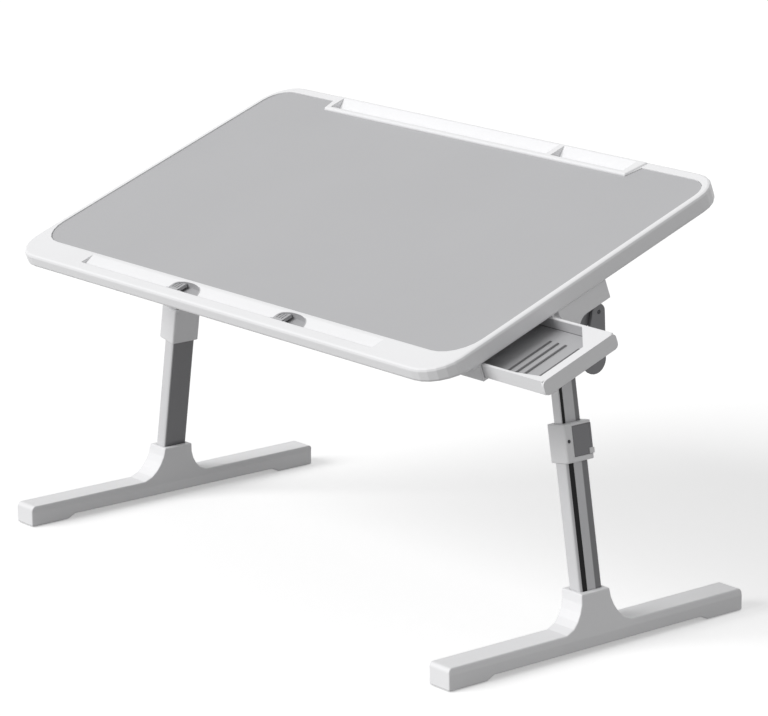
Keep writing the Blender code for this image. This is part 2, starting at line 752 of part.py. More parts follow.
def build_rail(frames, cover, board):
    """Two channels joined by a bar at their inner end; the drawer slides in them."""
    top = frames["top"]
    drawer_end = TOP_WIDTH / 2 - DRAWER_LENGTH - 2 * GAP
    inner = drawer_end - RAIL_BAR
    outer = TOP_WIDTH / 2 - PANEL_THICKNESS - 2 * GAP
    lip_top = -DRAWER_TOP - DRAWER_HEIGHT - GAP
    front = DRAWER_FRONT - 2 * GAP
    back = DRAWER_FRONT + DRAWER_WIDTH + 2 * GAP
    bar = box(
        (inner, front - RAIL_WALL, UNDERSIDE), (drawer_end, back + RAIL_WALL, UNDERSIDE - RAIL_BAR_DEPTH)
    )
    rail = add_object("drawer_rail", bar, top, WHITE)
    for edge, out in ((front, -1), (back, 1)):
        section = [
            (edge, UNDERSIDE),
            (edge, lip_top),
            (edge - out * RAIL_LIP, lip_top),
            (edge - out * RAIL_LIP, lip_top - RAIL_WALL),
            (edge + out * RAIL_WALL, lip_top - RAIL_WALL),
            (edge + out * RAIL_WALL, UNDERSIDE),
        ]
        join(rail, side_solid(section, drawer_end - RAIL_WALL, outer))
    flange_low = UNDERSIDE - RAIL_WALL
    join(
        rail,
        box((inner, front - RAIL_FLANGE, flange_low), (outer, front - RAIL_WALL / 2, UNDERSIDE)),
        box(
            (inner - RAIL_FLANGE, front - RAIL_FLANGE, flange_low),
            (inner + RAIL_WALL / 2, back + RAIL_WALL, UNDERSIDE),
        ),
    )
    front_line = front - (RAIL_WALL + RAIL_FLANGE) / 2
    inner_line = inner - RAIL_FLANGE / 2
    for name, x, y in (
        ("front", outer - RAIL_SCREW_INSET, front_line),
        ("middle", inner_line, front_line + RAIL_SCREW_INSET),
        ("back", inner_line, back - RAIL_SCREW_INSET),
    ):
        add_screw("rail_screw_" + name, (x, y, flange_low - GAP), frames, (rail, cover, board))


# Side brackets and fold pins

def build_bracket(name, side, frames, cover, board):
    top = frames["top"]
    outer = TOP_WIDTH / 2 - BRACKET_SIDE_SETBACK
    front = LEG_LINE - BRACKET_FRONT
    back = LEG_LINE + BRACKET_BACK
    low = UNDERSIDE - BRACKET_DEPTH
    inner = FOLD_X - BRACKET_INNER_REACH
    knee = FOLD_X + BRACKET_BOSS_RADIUS
    profile = [
        (outer, UNDERSIDE),
        (outer, low),
        *arc((FOLD_X, -FOLD_DROP), BRACKET_BOSS_RADIUS, 270, 225, 4),
        (inner, UNDERSIDE - BRACKET_WALL),
        (inner, UNDERSIDE),
    ]
    profile = [(side * x, z) for x, z in profile]
    bracket = add_object("bracket_" + name, cross_solid(profile, front, back), top, WHITE)
    soften(bracket, BRACKET_ROUND)
    ceiling = UNDERSIDE - BRACKET_WALL
    nose = [
        (front - OVERRUN, ceiling),
        (front - GAP, ceiling),
        (front + BRACKET_NOSE, low),
        (front + BRACKET_NOSE, low - OVERRUN),
        (front - OVERRUN, low - OVERRUN),
    ]
    far = TOP_WIDTH / 2 + OVERRUN
    cut(bracket, side_solid(nose, side * far, side * knee))
    cut(
        bracket,
        box(
            (side * (inner - OVERRUN), front + BRACKET_WALL, low - 2 * OVERRUN),
            (side * knee, back - BRACKET_WALL, ceiling),
        ),
    )
    chamber = [
        (front + BRACKET_WALL + GAP, ceiling + GAP),
        (front + BRACKET_NOSE + BRACKET_WALL, low),
        (front + BRACKET_NOSE + BRACKET_WALL, low - OVERRUN),
        (back - BRACKET_WALL - GAP, low - OVERRUN),
        (back - BRACKET_WALL - GAP, ceiling + GAP),
    ]
    cut(bracket, side_solid(chamber, side * (knee - OVERRUN), side * (outer - BRACKET_WALL)))
    radius = ARCH_RISE
    arch_low = LEG_LINE - ARCH_FRONT
    arch_high = back + OVERRUN
    arch = [(arch_low, low - OVERRUN), (arch_high, low - OVERRUN), (arch_high, low + radius)]
    arch += arc((arch_low + radius, low), radius, 90, 180)
    cut(bracket, side_solid(arch, side * (knee + BRACKET_WALL), side * far))
    start = (side * FOLD_X, front + GAP, -FOLD_DROP)
    end = (side * FOLD_X, back - GAP, -FOLD_DROP)
    pin = add_object("fold_pin_" + name, rod(start, end, FOLD_PIN_RADIUS), top, STEEL)
    start = (side * FOLD_X, front - OVERRUN, -FOLD_DROP)
    end = (side * FOLD_X, back + OVERRUN, -FOLD_DROP)
    cut(bracket, rod(start, end, FOLD_PIN_RADIUS + GAP))
    line = side * (inner + BRACKET_SCREW_INSET)
    for place, along in (("front", -SCREW_SPREAD), ("back", SCREW_SPREAD)):
        add_screw(
            f"bracket_screw_{name}_{place}",
            (line, LEG_LINE + along, ceiling - GAP),
            frames,
            (bracket, cover, board),
        )
    return pin


# Fold block with the tilt pin and the tilt lock

def build_fold_block(name, side, frames):
    fold = frames["fold_" + name]
    under = -(TILT_DROP - TONGUE_RADIUS - 2 * GAP)
    block = add_object(
        "fold_block_" + name,
        box(
            (side * (TILT_SHIFT - CHEEK_OUTER), -CHEEK_RADIUS, under),
            (side * (TILT_SHIFT + CHEEK_OUTER), CHEEK_RADIUS, BLOCK_TOP),
        ),
        fold,
        LEVER_GREY,
    )
    front = -(BRACKET_FRONT - BRACKET_WALL - HUB_CLEARANCE)
    back = BRACKET_BACK - BRACKET_WALL - HUB_CLEARANCE
    join(block, rod((0, front, 0), (0, back, 0), HUB_RADIUS, sides=ROUND_SIDES))
    cheek = [(-CHEEK_RADIUS, under / 2)]
    cheek += arc((0, -TILT_DROP), CHEEK_RADIUS, 180, 360, 2 * CORNER_STEPS)
    cheek += [(CHEEK_RADIUS, under / 2)]
    for sign in (-1, 1):
        near = side * (TILT_SHIFT + sign * CHEEK_INNER)
        away = side * (TILT_SHIFT + sign * CHEEK_OUTER)
        join(block, side_solid(cheek, near, away))
    pin_place = (LEVER_PIN_BACK, -LEVER_PIN_DROP)
    arm_back = LEVER_PIN_BACK + LEVER_MARGIN
    join(
        block,
        box(
            (side * ARM_START, -ARM_FRONT, -ARM_TOP),
            (side * ARM_REACH, arm_back, -ARM_TOP - ARM_SLAB),
        ),
        box(
            (side * (ARM_REACH - ARM_PLATE), LEVER_PIN_BACK - LEVER_MARGIN, -ARM_TOP),
            (side * ARM_REACH, arm_back, -ARM_BOTTOM),
        ),
        rod(
            (side * ARM_START, *pin_place),
            (side * (ARM_REACH - ARM_PLATE / 2), *pin_place),
            LEVER_SLEEVE_RADIUS,
        ),
    )
    cut(
        block,
        rod((0, front - OVERRUN, 0), (0, back + OVERRUN, 0), FOLD_PIN_RADIUS + GAP),
        rod(
            (side * (ARM_START - OVERRUN), *pin_place),
            (side * (ARM_REACH + OVERRUN), *pin_place),
            LEVER_PIN_RADIUS + GAP,
        ),
    )
    pin_start = (side * (TILT_SHIFT - CHEEK_OUTER - GAP), 0, -TILT_DROP)
    pin_end = (side * (TILT_SHIFT + CHEEK_OUTER + GAP), 0, -TILT_DROP)
    add_object("tilt_pin_" + name, rod(pin_start, pin_end, TILT_PIN_RADIUS), fold, STEEL)
    hole_start = (side * (TILT_SHIFT - CHEEK_OUTER - OVERRUN), 0, -TILT_DROP)
    hole_end = (side * (TILT_SHIFT + CHEEK_OUTER + OVERRUN), 0, -TILT_DROP)
    cut(block, rod(hole_start, hole_end, TILT_PIN_RADIUS + GAP))
    screw_place = (-BLOCK_SCREW_FORWARD, -ARM_TOP - ARM_SLAB / 2)
    add_object(
        "block_screw_" + name,
        rod(
            (side * (ARM_REACH - BLOCK_SCREW_LENGTH), *screw_place),
            (side * (ARM_REACH + BLOCK_SCREW_PROUD), *screw_place),
            BLOCK_SCREW_RADIUS,
        ),
        fold,
        STEEL,
    )
    cut(
        block,
        rod(
            (side * (ARM_REACH - BLOCK_SCREW_LENGTH - GAP), *screw_place),
            (side * (ARM_REACH + OVERRUN), *screw_place),
            BLOCK_SCREW_RADIUS + GAP,
        ),
    )


def build_lever(name, side, frames):
    """The tilt lever outside the leg, its cross shaft and the pawl that it turns."""
    frame = frames["lever_" + name]
    paddle = (-PADDLE_FORWARD, -PADDLE_DROP)
    outline = arc((0, 0), LEVER_HUB_RADIUS, LEVER_LEAN - 270, LEVER_LEAN - 90, 2 * CORNER_STEPS)
    outline += arc(paddle, PADDLE_RADIUS, LEVER_LEAN - 90, LEVER_LEAN + 90, 2 * CORNER_STEPS)
    lever = add_object(
        "tilt_lever_" + name,
        side_solid(outline, side * LEVER_INNER, side * LEVER_OUTER),
        frame,
        LEVER_GREY,
    )
    soften(lever, LEVER_ROUND)
    add_object(
        "lever_shaft_" + name,
        rod((side * PAWL_INNER, 0, 0), (side * (LEVER_OUTER - GAP), 0, 0), LEVER_PIN_RADIUS),
        frame,
        STEEL,
    )
    tilt = Vector((-LEVER_PIN_BACK, LEVER_PIN_DROP - TILT_DROP))
    outward = Vector((math.cos(PAWL_ANGLE), math.sin(PAWL_ANGLE)))
    along = Vector((-outward.y, outward.x))
    tip = tilt + outward * (SECTOR_RADIUS + GAP)
    heel = tip + outward * PAWL_BACK - along * PAWL_UNDERCUT
    shoulder = tip + outward * PAWL_UNDERCUT + along * PAWL_SHOULDER
    outline = arc((0, 0), PAWL_HUB_RADIUS, 0, 180)
    outline += [tuple(shoulder), tuple(tip), tuple(heel)]
    pawl = add_object(
        "tilt_pawl_" + name,
        side_solid(outline, side * PAWL_INNER, side * (PAWL_INNER + PAWL_WIDTH)),
        frame,
        STEEL,
    )
    for piece in (lever, pawl):
        bore = rod(
            (side * (PAWL_INNER - OVERRUN), 0, 0),
            (side * (LEVER_OUTER + OVERRUN), 0, 0),
            LEVER_PIN_RADIUS + GAP,
        )
        cut(piece, bore)


# Legs

def section(thickness, width, radius, low, high):
    """A rounded rectangle in X and Y, centred on the leg, between two distances down it."""
    corner = (thickness / 2, width / 2)
    points = rounded_rectangle((-corner[0], -corner[1]), corner, radius, CORNER_STEPS)
    return outline_solid(points, -low, -high)


def splayed(shape, side):
    shape.transform(Matrix.Rotation(-side * LEG_SPLAY, 4, "Y"))
    return shape


def build_head(name, side, frames):
    """The leg head: a tongue between the cheeks, with the toothed sector beside it."""
    joint = frames["joint_" + name]
    tongue = arc((0, 0), TONGUE_RADIUS, 0, 180, 2 * CORNER_STEPS)
    tongue += [(-TONGUE_RADIUS, -HEAD_SEAT), (TONGUE_RADIUS, -HEAD_SEAT)]
    inner_face = side * (-TONGUE_STACK / 2)
    outer_face = side * (SECTOR_INNER - GAP)
    head = add_object("leg_head_" + name, side_solid(tongue, inner_face, outer_face), joint, WHITE)
    wall = 2 * (HEAD_WALL + GAP)
    block = section(
        UPPER_TUBE_THICKNESS + wall, UPPER_TUBE_WIDTH + wall, HEAD_CORNER, HEAD_SHOULDER, HEAD_LENGTH
    )
    join(head, splayed(block, side))
    pocket = section(
        UPPER_TUBE_THICKNESS + 2 * GAP,
        UPPER_TUBE_WIDTH + 2 * GAP,
        TUBE_CORNER,
        HEAD_SEAT,
        HEAD_LENGTH + OVERRUN,
    )
    cut(head, splayed(pocket, side))
    near = side * (SECTOR_INNER - GAP)
    tail = box(
        (near, -SECTOR_TAIL_HALF - GAP, -SECTOR_TAIL_LENGTH - GAP),
        (side * (TONGUE_STACK / 2 + GAP), SECTOR_TAIL_HALF + GAP, 0),
    )
    cut(head, tail)
    start = (-side * CHEEK_OUTER, 0, 0)
    end = (side * CHEEK_OUTER, 0, 0)
    cut(head, rod(start, end, TILT_PIN_RADIUS + GAP))
    outline = [(SECTOR_TAIL_HALF, -SECTOR_TAIL_LENGTH), (SECTOR_TAIL_HALF, -TONGUE_RADIUS)]
    pitch = (TOOTH_END - TOOTH_START) / TOOTH_COUNT
    for tooth in range(TOOTH_COUNT):
        for radius, step in ((SECTOR_RADIUS - TOOTH_DEPTH, tooth), (SECTOR_RADIUS, tooth + 0.5)):
            angle = math.radians(TOOTH_START + pitch * step)
            outline.append((radius * math.cos(angle), radius * math.sin(angle)))
    outline += arc((0, 0), TONGUE_RADIUS - GAP, TOOTH_END, 240, 2 * CORNER_STEPS)
    outline += [(-SECTOR_TAIL_HALF, -TONGUE_RADIUS), (-SECTOR_TAIL_HALF, -SECTOR_TAIL_LENGTH)]
    sector = add_object(
        "ratchet_sector_" + name,
        side_solid(outline, side * SECTOR_INNER, side * TONGUE_STACK / 2),
        joint,
        STEEL,
    )
    cut(sector, rod(start, end, TILT_PIN_RADIUS + GAP))


def build_tubes(name, side, frames):
    leg = frames["leg_" + name]
    hollow_start = HEAD_SEAT - OVERRUN
    upper = add_object(
        "upper_tube_" + name,
        section(
            UPPER_TUBE_THICKNESS, UPPER_TUBE_WIDTH, TUBE_CORNER - GAP, HEAD_SEAT + GAP, UPPER_TUBE_END
        ),
        leg,
        ALUMINIUM,
    )
    hollow = (UPPER_TUBE_THICKNESS - 2 * TUBE_WALL, UPPER_TUBE_WIDTH - 2 * TUBE_WALL)
    hollow_corner = TUBE_CORNER - GAP - TUBE_WALL
    cut(upper, section(*hollow, hollow_corner, hollow_start, UPPER_TUBE_END + OVERRUN))
    face = UPPER_TUBE_THICKNESS / 2
    edge = -UPPER_TUBE_WIDTH / 2 + TUBE_CORNER
    cut(
        upper,
        box(
            (side * (face - GROOVE_DEPTH), edge - UPPER_GROOVE_WIDTH / 2, -HEAD_LENGTH - GAP),
            (side * (face + OVERRUN), edge + UPPER_GROOVE_WIDTH / 2, -UPPER_TUBE_END - OVERRUN),
        ),
    )
    plug_start = UPPER_TUBE_END - PLUG_LENGTH
    plug = add_object(
        "tube_plug_" + name,
        section(
            hollow[0] - 2 * GAP,
            hollow[1] - 2 * GAP,
            hollow_corner - GAP,
            plug_start,
            UPPER_TUBE_END + PLUG_FLANGE,
        ),
        leg,
        LEVER_GREY,
    )
    join(
        plug,
        section(
            UPPER_TUBE_THICKNESS,
            UPPER_TUBE_WIDTH,
            TUBE_CORNER - GAP,
            UPPER_TUBE_END + GAP,
            UPPER_TUBE_END + GAP + PLUG_FLANGE,
        ),
    )
    start = COLLAR_TOP + COLLAR_LIP + GAP
    end = LEG_LENGTH + SOCKET_DEPTH - GAP
    lower = add_object(
        "lower_tube_" + name,
        section(LOWER_TUBE_THICKNESS, LOWER_TUBE_WIDTH, TUBE_CORNER, start, end),
        leg,
        ALUMINIUM,
    )
    cut(
        lower,
        section(
            LOWER_TUBE_THICKNESS - 2 * TUBE_WALL,
            LOWER_TUBE_WIDTH - 2 * TUBE_WALL,
            TUBE_CORNER - TUBE_WALL,
            start - OVERRUN,
            end + OVERRUN,
        ),
    )
    face = LOWER_TUBE_THICKNESS / 2
    edge = -LOWER_TUBE_WIDTH / 2 + TUBE_CORNER
    cut(
        lower,
        box(
            (side * (face - GROOVE_DEPTH), edge, -COLLAR_BOTTOM - GAP),
            (side * (face + OVERRUN), edge + LOWER_GROOVE_WIDTH, -end - OVERRUN),
        ),
    )


def build_collar(name, side, frames):
    leg = frames["leg_" + name]
    outline = rounded_rectangle(
        (-COLLAR_INNER, -COLLAR_HALF), (COLLAR_OUTER, COLLAR_HALF), COLLAR_CORNER, CORNER_STEPS
    )
    outline = [(side * x, y) for x, y in outline]
    collar = add_object(
        "clamp_collar_" + name, outline_solid(outline, -COLLAR_BOTTOM, -COLLAR_TOP), leg, WHITE
    )
    soften(collar, COLLAR_ROUND)
    cut(
        collar,
        section(
            UPPER_TUBE_THICKNESS + 2 * TUBE_SLIDE_GAP,
            UPPER_TUBE_WIDTH + 2 * TUBE_SLIDE_GAP,
            TUBE_CORNER,
            COLLAR_TOP - OVERRUN,
            COLLAR_TOP + COLLAR_LIP + OVERRUN,
        ),
        section(
            LOWER_TUBE_THICKNESS + 2 * GAP,
            LOWER_TUBE_WIDTH + 2 * GAP,
            TUBE_CORNER + GAP,
            COLLAR_TOP + COLLAR_LIP,
            COLLAR_BOTTOM + OVERRUN,
        ),
    )
    top = -COLLAR_TOP - CLAMP_TOP
    low = top - CLAMP_LENGTH
    recess_floor = COLLAR_OUTER - CLAMP_RECESS
    front = -COLLAR_HALF + CLAMP_SETBACK
    notch = CLAMP_BARREL_RADIUS + GAP
    meeting = 360 - math.degrees(math.acos((recess_floor - CLAMP_PIN_X) / notch))
    outline = [(recess_floor, front), (COLLAR_OUTER + OVERRUN, front)]
    outline += [(COLLAR_OUTER + OVERRUN, COLLAR_HALF + OVERRUN), (CLAMP_PIN_X, COLLAR_HALF + OVERRUN)]
    outline += arc((CLAMP_PIN_X, CLAMP_PIN_Y), notch, 90, meeting, 2 * CORNER_STEPS)
    outline = [(side * x, y) for x, y in outline]
    cut(collar, outline_solid(outline, low, top))
    clamp = frames["clamp_" + name]
    plate_inner = recess_floor + GAP - CLAMP_PIN_X
    plate_outer = COLLAR_OUTER - CLAMP_PIN_X
    high = -CLAMP_TOP - GAP
    deep = -CLAMP_TOP - CLAMP_LENGTH + GAP
    lever = add_object(
        "clamp_lever_" + name,
        box((side * plate_inner, front + GAP - CLAMP_PIN_Y, deep), (side * plate_outer, 0, high)),
        clamp,
        LEVER_GREY,
    )
    join(lever, rod((0, 0, deep), (0, 0, high), CLAMP_BARREL_RADIUS, sides=ROUND_SIDES))
    pin_top = -CLAMP_TOP + CLAMP_PIN_SEAT
    pin_low = -COLLAR_LENGTH + GAP
    cut(lever, rod((0, 0, deep - OVERRUN), (0, 0, high + OVERRUN), CLAMP_PIN_RADIUS + GAP))
    place = (side * CLAMP_PIN_X, CLAMP_PIN_Y)
    pin = rod(
        (*place, -COLLAR_TOP + pin_top), (*place, -COLLAR_TOP + pin_low), CLAMP_PIN_RADIUS
    )
    add_object("clamp_pin_" + name, pin, leg, STEEL)
    cut(
        collar,
        rod(
            (*place, -COLLAR_TOP + pin_top + GAP),
            (*place, -COLLAR_BOTTOM - OVERRUN),
            CLAMP_PIN_RADIUS + GAP,
        ),
    )
    place = (-COLLAR_HALF + CLAMP_SCREW_SETBACK, -COLLAR_TOP - CLAMP_SCREW_DROP)
    screw = rod(
        (side * (COLLAR_OUTER - CLAMP_SCREW_LENGTH), *place),
        (side * (COLLAR_OUTER + CLAMP_SCREW_PROUD), *place),
        CLAMP_SCREW_RADIUS,
    )
    add_object("clamp_screw_" + name, screw, leg, STEEL)
    cut(
        collar,
        rod(
            (side * (COLLAR_OUTER - CLAMP_SCREW_LENGTH - GAP), *place),
            (side * (COLLAR_OUTER + OVERRUN), *place),
            CLAMP_SCREW_RADIUS + GAP,
        ),
    )


# Feet

def foot_outline():
    half = FOOT_LENGTH / 2
    tip = half - FOOT_END_RADIUS
    sole = half - FOOT_SOLE_RADIUS
    top = FOOT_HEIGHT - FOOT_END_RADIUS
    bottom = PAD_PROUD + FOOT_SOLE_RADIUS
    points = arc((sole, bottom), FOOT_SOLE_RADIUS, -90, 0, SOLE_STEPS)
    points += arc((tip, top), FOOT_END_RADIUS, 0, 90)
    points += list(STEM_OUTLINE)
    points += [(-y, z) for y, z in reversed(STEM_OUTLINE)]
    points += arc((-tip, top), FOOT_END_RADIUS, 90, 180)
    points += arc((-sole, bottom), FOOT_SOLE_RADIUS, 180, 270, SOLE_STEPS)
    land = half - PAD_LAND
    points += [(-land, PAD_PROUD), (-land + FOOT_ARCH_SLOPE, FOOT_ARCH)]
    points += [(land - FOOT_ARCH_SLOPE, FOOT_ARCH), (land, PAD_PROUD)]
    return points


def build_foot(name, side, frames):
    frame = frames["stand_" + name]
    half = FOOT_WIDTH / 2
    shape = side_solid(foot_outline(), -half, half)
    bmesh.ops.bisect_plane(
        shape,
        geom=[*shape.verts, *shape.edges, *shape.faces],
        plane_co=(0, 0, FOOT_LEAN_HEIGHT),
        plane_no=(0, 0, 1),
    )
    for point in shape.verts:
        rise = point.co.z - FOOT_LEAN_HEIGHT
        if rise > 0:
            point.co.x -= side * rise * LEAN
    foot = add_object("foot_" + name, shape, frame, WHITE)
    soften(foot, FOOT_EDGE_ROUND)
    socket = section(
        LOWER_TUBE_THICKNESS + 2 * GAP,
        LOWER_TUBE_WIDTH + 2 * GAP,
        TUBE_CORNER + GAP,
        LEG_LENGTH - SOCKET_DEPTH,
        LEG_LENGTH + SOCKET_DEPTH,
    )
    socket = add_object("foot_socket_" + name, socket, frames["leg_" + name], None)
    cut(foot, socket)
    end = FOOT_LENGTH / 2
    for place, out in (("front", -1), ("back", 1)):
        near = out * (end - PAD_LAND + PAD_INSET)
        away = out * (end - PAD_INSET)
        across = half - PAD_INSET
        pad = box((-across, near, 0), (across, away, PAD_THICKNESS))
        add_object(f"foot_pad_{name}_{place}", pad, frame, RUBBER)
        across += GAP
        pocket = box(
            (-across, near - out * GAP, -OVERRUN), (across, away + out * GAP, PAD_THICKNESS + GAP)
        )
        cut(foot, pocket)


def stand_on_origin(root):
    """Moves everything so that the middle of the underside of the whole table is the origin."""
    bpy.context.view_layer.update()
    graph = bpy.context.evaluated_depsgraph_get()
    corners = []
    for obj in PARTS.objects:
        if obj.type == "MESH":
            solid = obj.evaluated_get(graph)
            corners += [solid.matrix_world @ Vector(corner) for corner in solid.bound_box]
    for axis, share in ((0, 0.5), (1, 0.5), (2, 0)):
        low = min(corner[axis] for corner in corners)
        high = max(corner[axis] for corner in corners)
        root.location[axis] -= low + (high - low) * share


def main():
    frames = build_frames()
    build_frame(frames)
    board, cover = build_board_and_mat(frames)
    build_stops(frames)
    build_drawer(frames, cover, board)
    for name, side in (("left", -1), ("right", 1)):
        build_bracket(name, side, frames, cover, board)
        build_fold_block(name, side, frames)
        build_lever(name, side, frames)
        build_head(name, side, frames)
        build_tubes(name, side, frames)
        build_collar(name, side, frames)
        build_foot(name, side, frames)
    stand_on_origin(frames["table"])


main()
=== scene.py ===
"""Dresses the folding laptop bed table: plastics, mat, tubes, stripes, floor, lamps and camera."""

import json
import math

import bmesh
import bpy
from bpy.props import FloatProperty, FloatVectorProperty, PointerProperty
from mathutils import Matrix, Vector


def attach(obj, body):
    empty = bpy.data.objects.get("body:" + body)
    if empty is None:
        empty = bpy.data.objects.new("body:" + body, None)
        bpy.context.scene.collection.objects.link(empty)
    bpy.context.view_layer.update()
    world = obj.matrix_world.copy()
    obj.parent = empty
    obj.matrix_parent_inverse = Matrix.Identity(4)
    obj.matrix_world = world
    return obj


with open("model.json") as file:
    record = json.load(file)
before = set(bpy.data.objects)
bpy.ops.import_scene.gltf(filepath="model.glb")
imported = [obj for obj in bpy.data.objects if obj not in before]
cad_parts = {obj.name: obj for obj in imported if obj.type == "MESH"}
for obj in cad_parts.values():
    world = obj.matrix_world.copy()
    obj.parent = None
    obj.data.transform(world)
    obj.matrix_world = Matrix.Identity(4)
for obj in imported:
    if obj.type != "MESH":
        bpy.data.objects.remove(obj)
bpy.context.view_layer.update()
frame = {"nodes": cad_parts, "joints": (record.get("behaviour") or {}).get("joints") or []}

bl_info = {
    "name": "Laptop bed table",
    "version": (1, 0, 0),
    "blender": (4, 5, 0),
    "location": "3D View > Sidebar > Bed table",
    "description": "Gives the folding bed table its finishes and its studio",
    "category": "Object",
}

SIDES = (("left", -1), ("right", 1))
TOP_TILT = math.radians(20.15)
# How pale the floor is where the camera sees it, and where it only throws light back.
FLOOR_SEEN_COLOUR = (0.8, 0.8, 0.8, 1)
FLOOR_LIT_COLOUR = (0.33, 0.33, 0.33, 1)
FLOOR_GLOW = 0.38
# The camera sensor in millimetres, and the farthest distance drawn in metres.
SENSOR_WIDTH = 36
FARTHEST_SEEN = 100
TOP_NORMAL = (0, -math.sin(TOP_TILT), math.cos(TOP_TILT))
TOP_BACK = (0, math.cos(TOP_TILT), math.sin(TOP_TILT))


class BedTableFinishes(bpy.types.PropertyGroup):
    """Colours and surface sizes of the table's finishes"""

    shell_colour: FloatVectorProperty(
        name="Shell colour",
        description="White plastic of the frame, brackets, collars and feet",
        default=(0.82, 0.82, 0.83),
        subtype="COLOR",
    )
    mat_colour: FloatVectorProperty(
        name="Mat colour",
        description="Pebbled grey covering of the desk surface",
        default=(0.455, 0.455, 0.465),
        subtype="COLOR",
    )
    # Painted shade: this grey stands in for the shade on the tray's floor and inner walls. A darker share of
    # it paints shadow lines at the ribs' height.
    drawer_shade_colour: FloatVectorProperty(
        name="Drawer shade colour",
        description="Greyer, matt floor of the drawer",
        default=(0.44, 0.44, 0.45),
        subtype="COLOR",
    )
    # Painted shade: this grey stands in for the shade in the stops' pockets and on the stops that lie in them.
    pocket_shade_colour: FloatVectorProperty(
        name="Pocket shade colour",
        description="Textured inside of the pockets that the stops lie in",
        default=(0.42, 0.42, 0.43),
        subtype="COLOR",
    )
    board_colour: FloatVectorProperty(
        name="Board colour",
        description="Raw fibreboard under the mat",
        default=(0.5, 0.37, 0.24),
        subtype="COLOR",
    )
    lever_colour: FloatVectorProperty(
        name="Lever colour",
        description="Grey plastic of the levers and the fold blocks",
        default=(0.21, 0.21, 0.22),
        subtype="COLOR",
    )
    # Painted shade and reflection: near-black strips stand in for the dark band that the tubes' grooves show.
    groove_shade_colour: FloatVectorProperty(
        name="Groove shade colour",
        description="Black plastic strips set into the tubes",
        default=(0.008, 0.008, 0.009),
        subtype="COLOR",
    )
    # Painted light on the tubes: the lit colour goes on faces turned to the front, the half-shade on the outer
    # face, and the shade on the inner face and the back edge.
    tube_edge_colour: FloatVectorProperty(
        name="Tube lit colour",
        description="Bright narrow faces of the leg tubes",
        default=(0.64, 0.64, 0.65),
        subtype="COLOR",
    )
    tube_outer_colour: FloatVectorProperty(
        name="Tube half-shade colour",
        description="Anodised outer faces of the leg tubes",
        default=(0.43, 0.43, 0.44),
        subtype="COLOR",
    )
    tube_inner_colour: FloatVectorProperty(
        name="Tube shade colour",
        description="Darker inner faces and back edges of the leg tubes",
        default=(0.15, 0.15, 0.155),
        subtype="COLOR",
    )
    steel_colour: FloatVectorProperty(
        name="Steel colour",
        description="Plated steel of the pins, screws, pawls and sectors",
        default=(0.5, 0.5, 0.52),
        subtype="COLOR",
    )
    dark_steel_colour: FloatVectorProperty(
        name="Dark steel colour",
        description="Blackened steel of the small visible screws and shafts",
        default=(0.05, 0.05, 0.055),
        subtype="COLOR",
    )
    rubber_colour: FloatVectorProperty(
        name="Rubber colour",
        description="Grey rubber of the foot pads",
        default=(0.3, 0.3, 0.31),
        subtype="COLOR",
    )
    shell_grain: FloatProperty(
        name="Shell grain",
        description="Grains to a metre in the moulded plastic",
        default=1500.0,
    )
    mat_grain: FloatProperty(
        name="Mat grain",
        description="Pebbles to a metre in the mat",
        default=620.0,
    )
    edge_softness: FloatProperty(
        name="Edge softness",
        description="Radius of the soft highlight on moulded edges",
        default=0.0006,
        unit="LENGTH",
    )


class BedTablePockets(bpy.types.PropertyGroup):
    """Places and sizes of the stops' pockets in the frame's front band"""

    pocket_left: FloatProperty(
        name="Left pocket", description="Left edge to the left pocket's middle", default=0.244, unit="LENGTH"
    )
    pocket_right: FloatProperty(
        name="Right pocket", description="Left edge to the right pocket's middle", default=0.392, unit="LENGTH"
    )
    pocket_front: FloatProperty(
        name="Pocket front", description="Front edge to the pockets", default=0.011, unit="LENGTH"
    )
    pocket_reach: FloatProperty(
        name="Pocket reach", description="Front to back of a pocket", default=0.0143, unit="LENGTH"
    )
    pocket_half: FloatProperty(
        name="Pocket half", description="Half the length of a pocket", default=0.02, unit="LENGTH"
    )
    bar_rise: FloatProperty(
        name="Bar rise", description="Height of the back bar over the band", default=0.0016, unit="LENGTH"
    )


class BedTableStripes(bpy.types.PropertyGroup):
    """Sizes of the strips in the tubes, measured in the leg's own directions"""

    splay: FloatProperty(
        name="Splay",
        description="Lean of the legs to the sides",
        default=math.radians(9.73),
        subtype="ANGLE",
    )
    thickness: FloatProperty(
        name="Thickness", description="Thickness of a strip", default=0.0004, unit="LENGTH"
    )
    lower_face: FloatProperty(
        name="Lower face", description="Leg's middle to the lower groove", default=0.0067, unit="LENGTH"
    )
    lower_middle: FloatProperty(
        name="Lower middle", description="Leg's middle to the lower strip's", default=-0.0069, unit="LENGTH"
    )
    lower_width: FloatProperty(
        name="Lower width", description="Width of the lower strip", default=0.0051, unit="LENGTH"
    )
    lower_start: FloatProperty(
        name="Lower start", description="Tilt axis to the lower strip", default=0.1135, unit="LENGTH"
    )
    lower_end: FloatProperty(
        name="Lower end", description="Tilt axis to the lower strip's end", default=0.2365, unit="LENGTH"
    )
    upper_face: FloatProperty(
        name="Upper face", description="Leg's middle to the upper groove", default=0.00495, unit="LENGTH"
    )
    upper_middle: FloatProperty(
        name="Upper middle", description="Leg's middle to the upper strip's", default=-0.00785, unit="LENGTH"
    )
    upper_width: FloatProperty(
        name="Upper width", description="Width of the upper strip", default=0.0027, unit="LENGTH"
    )
    upper_start: FloatProperty(
        name="Upper start", description="Tilt axis to the upper strip", default=0.0286, unit="LENGTH"
    )
    upper_end: FloatProperty(
        name="Upper end", description="Tilt axis to the upper strip's end", default=0.1755, unit="LENGTH"
    )


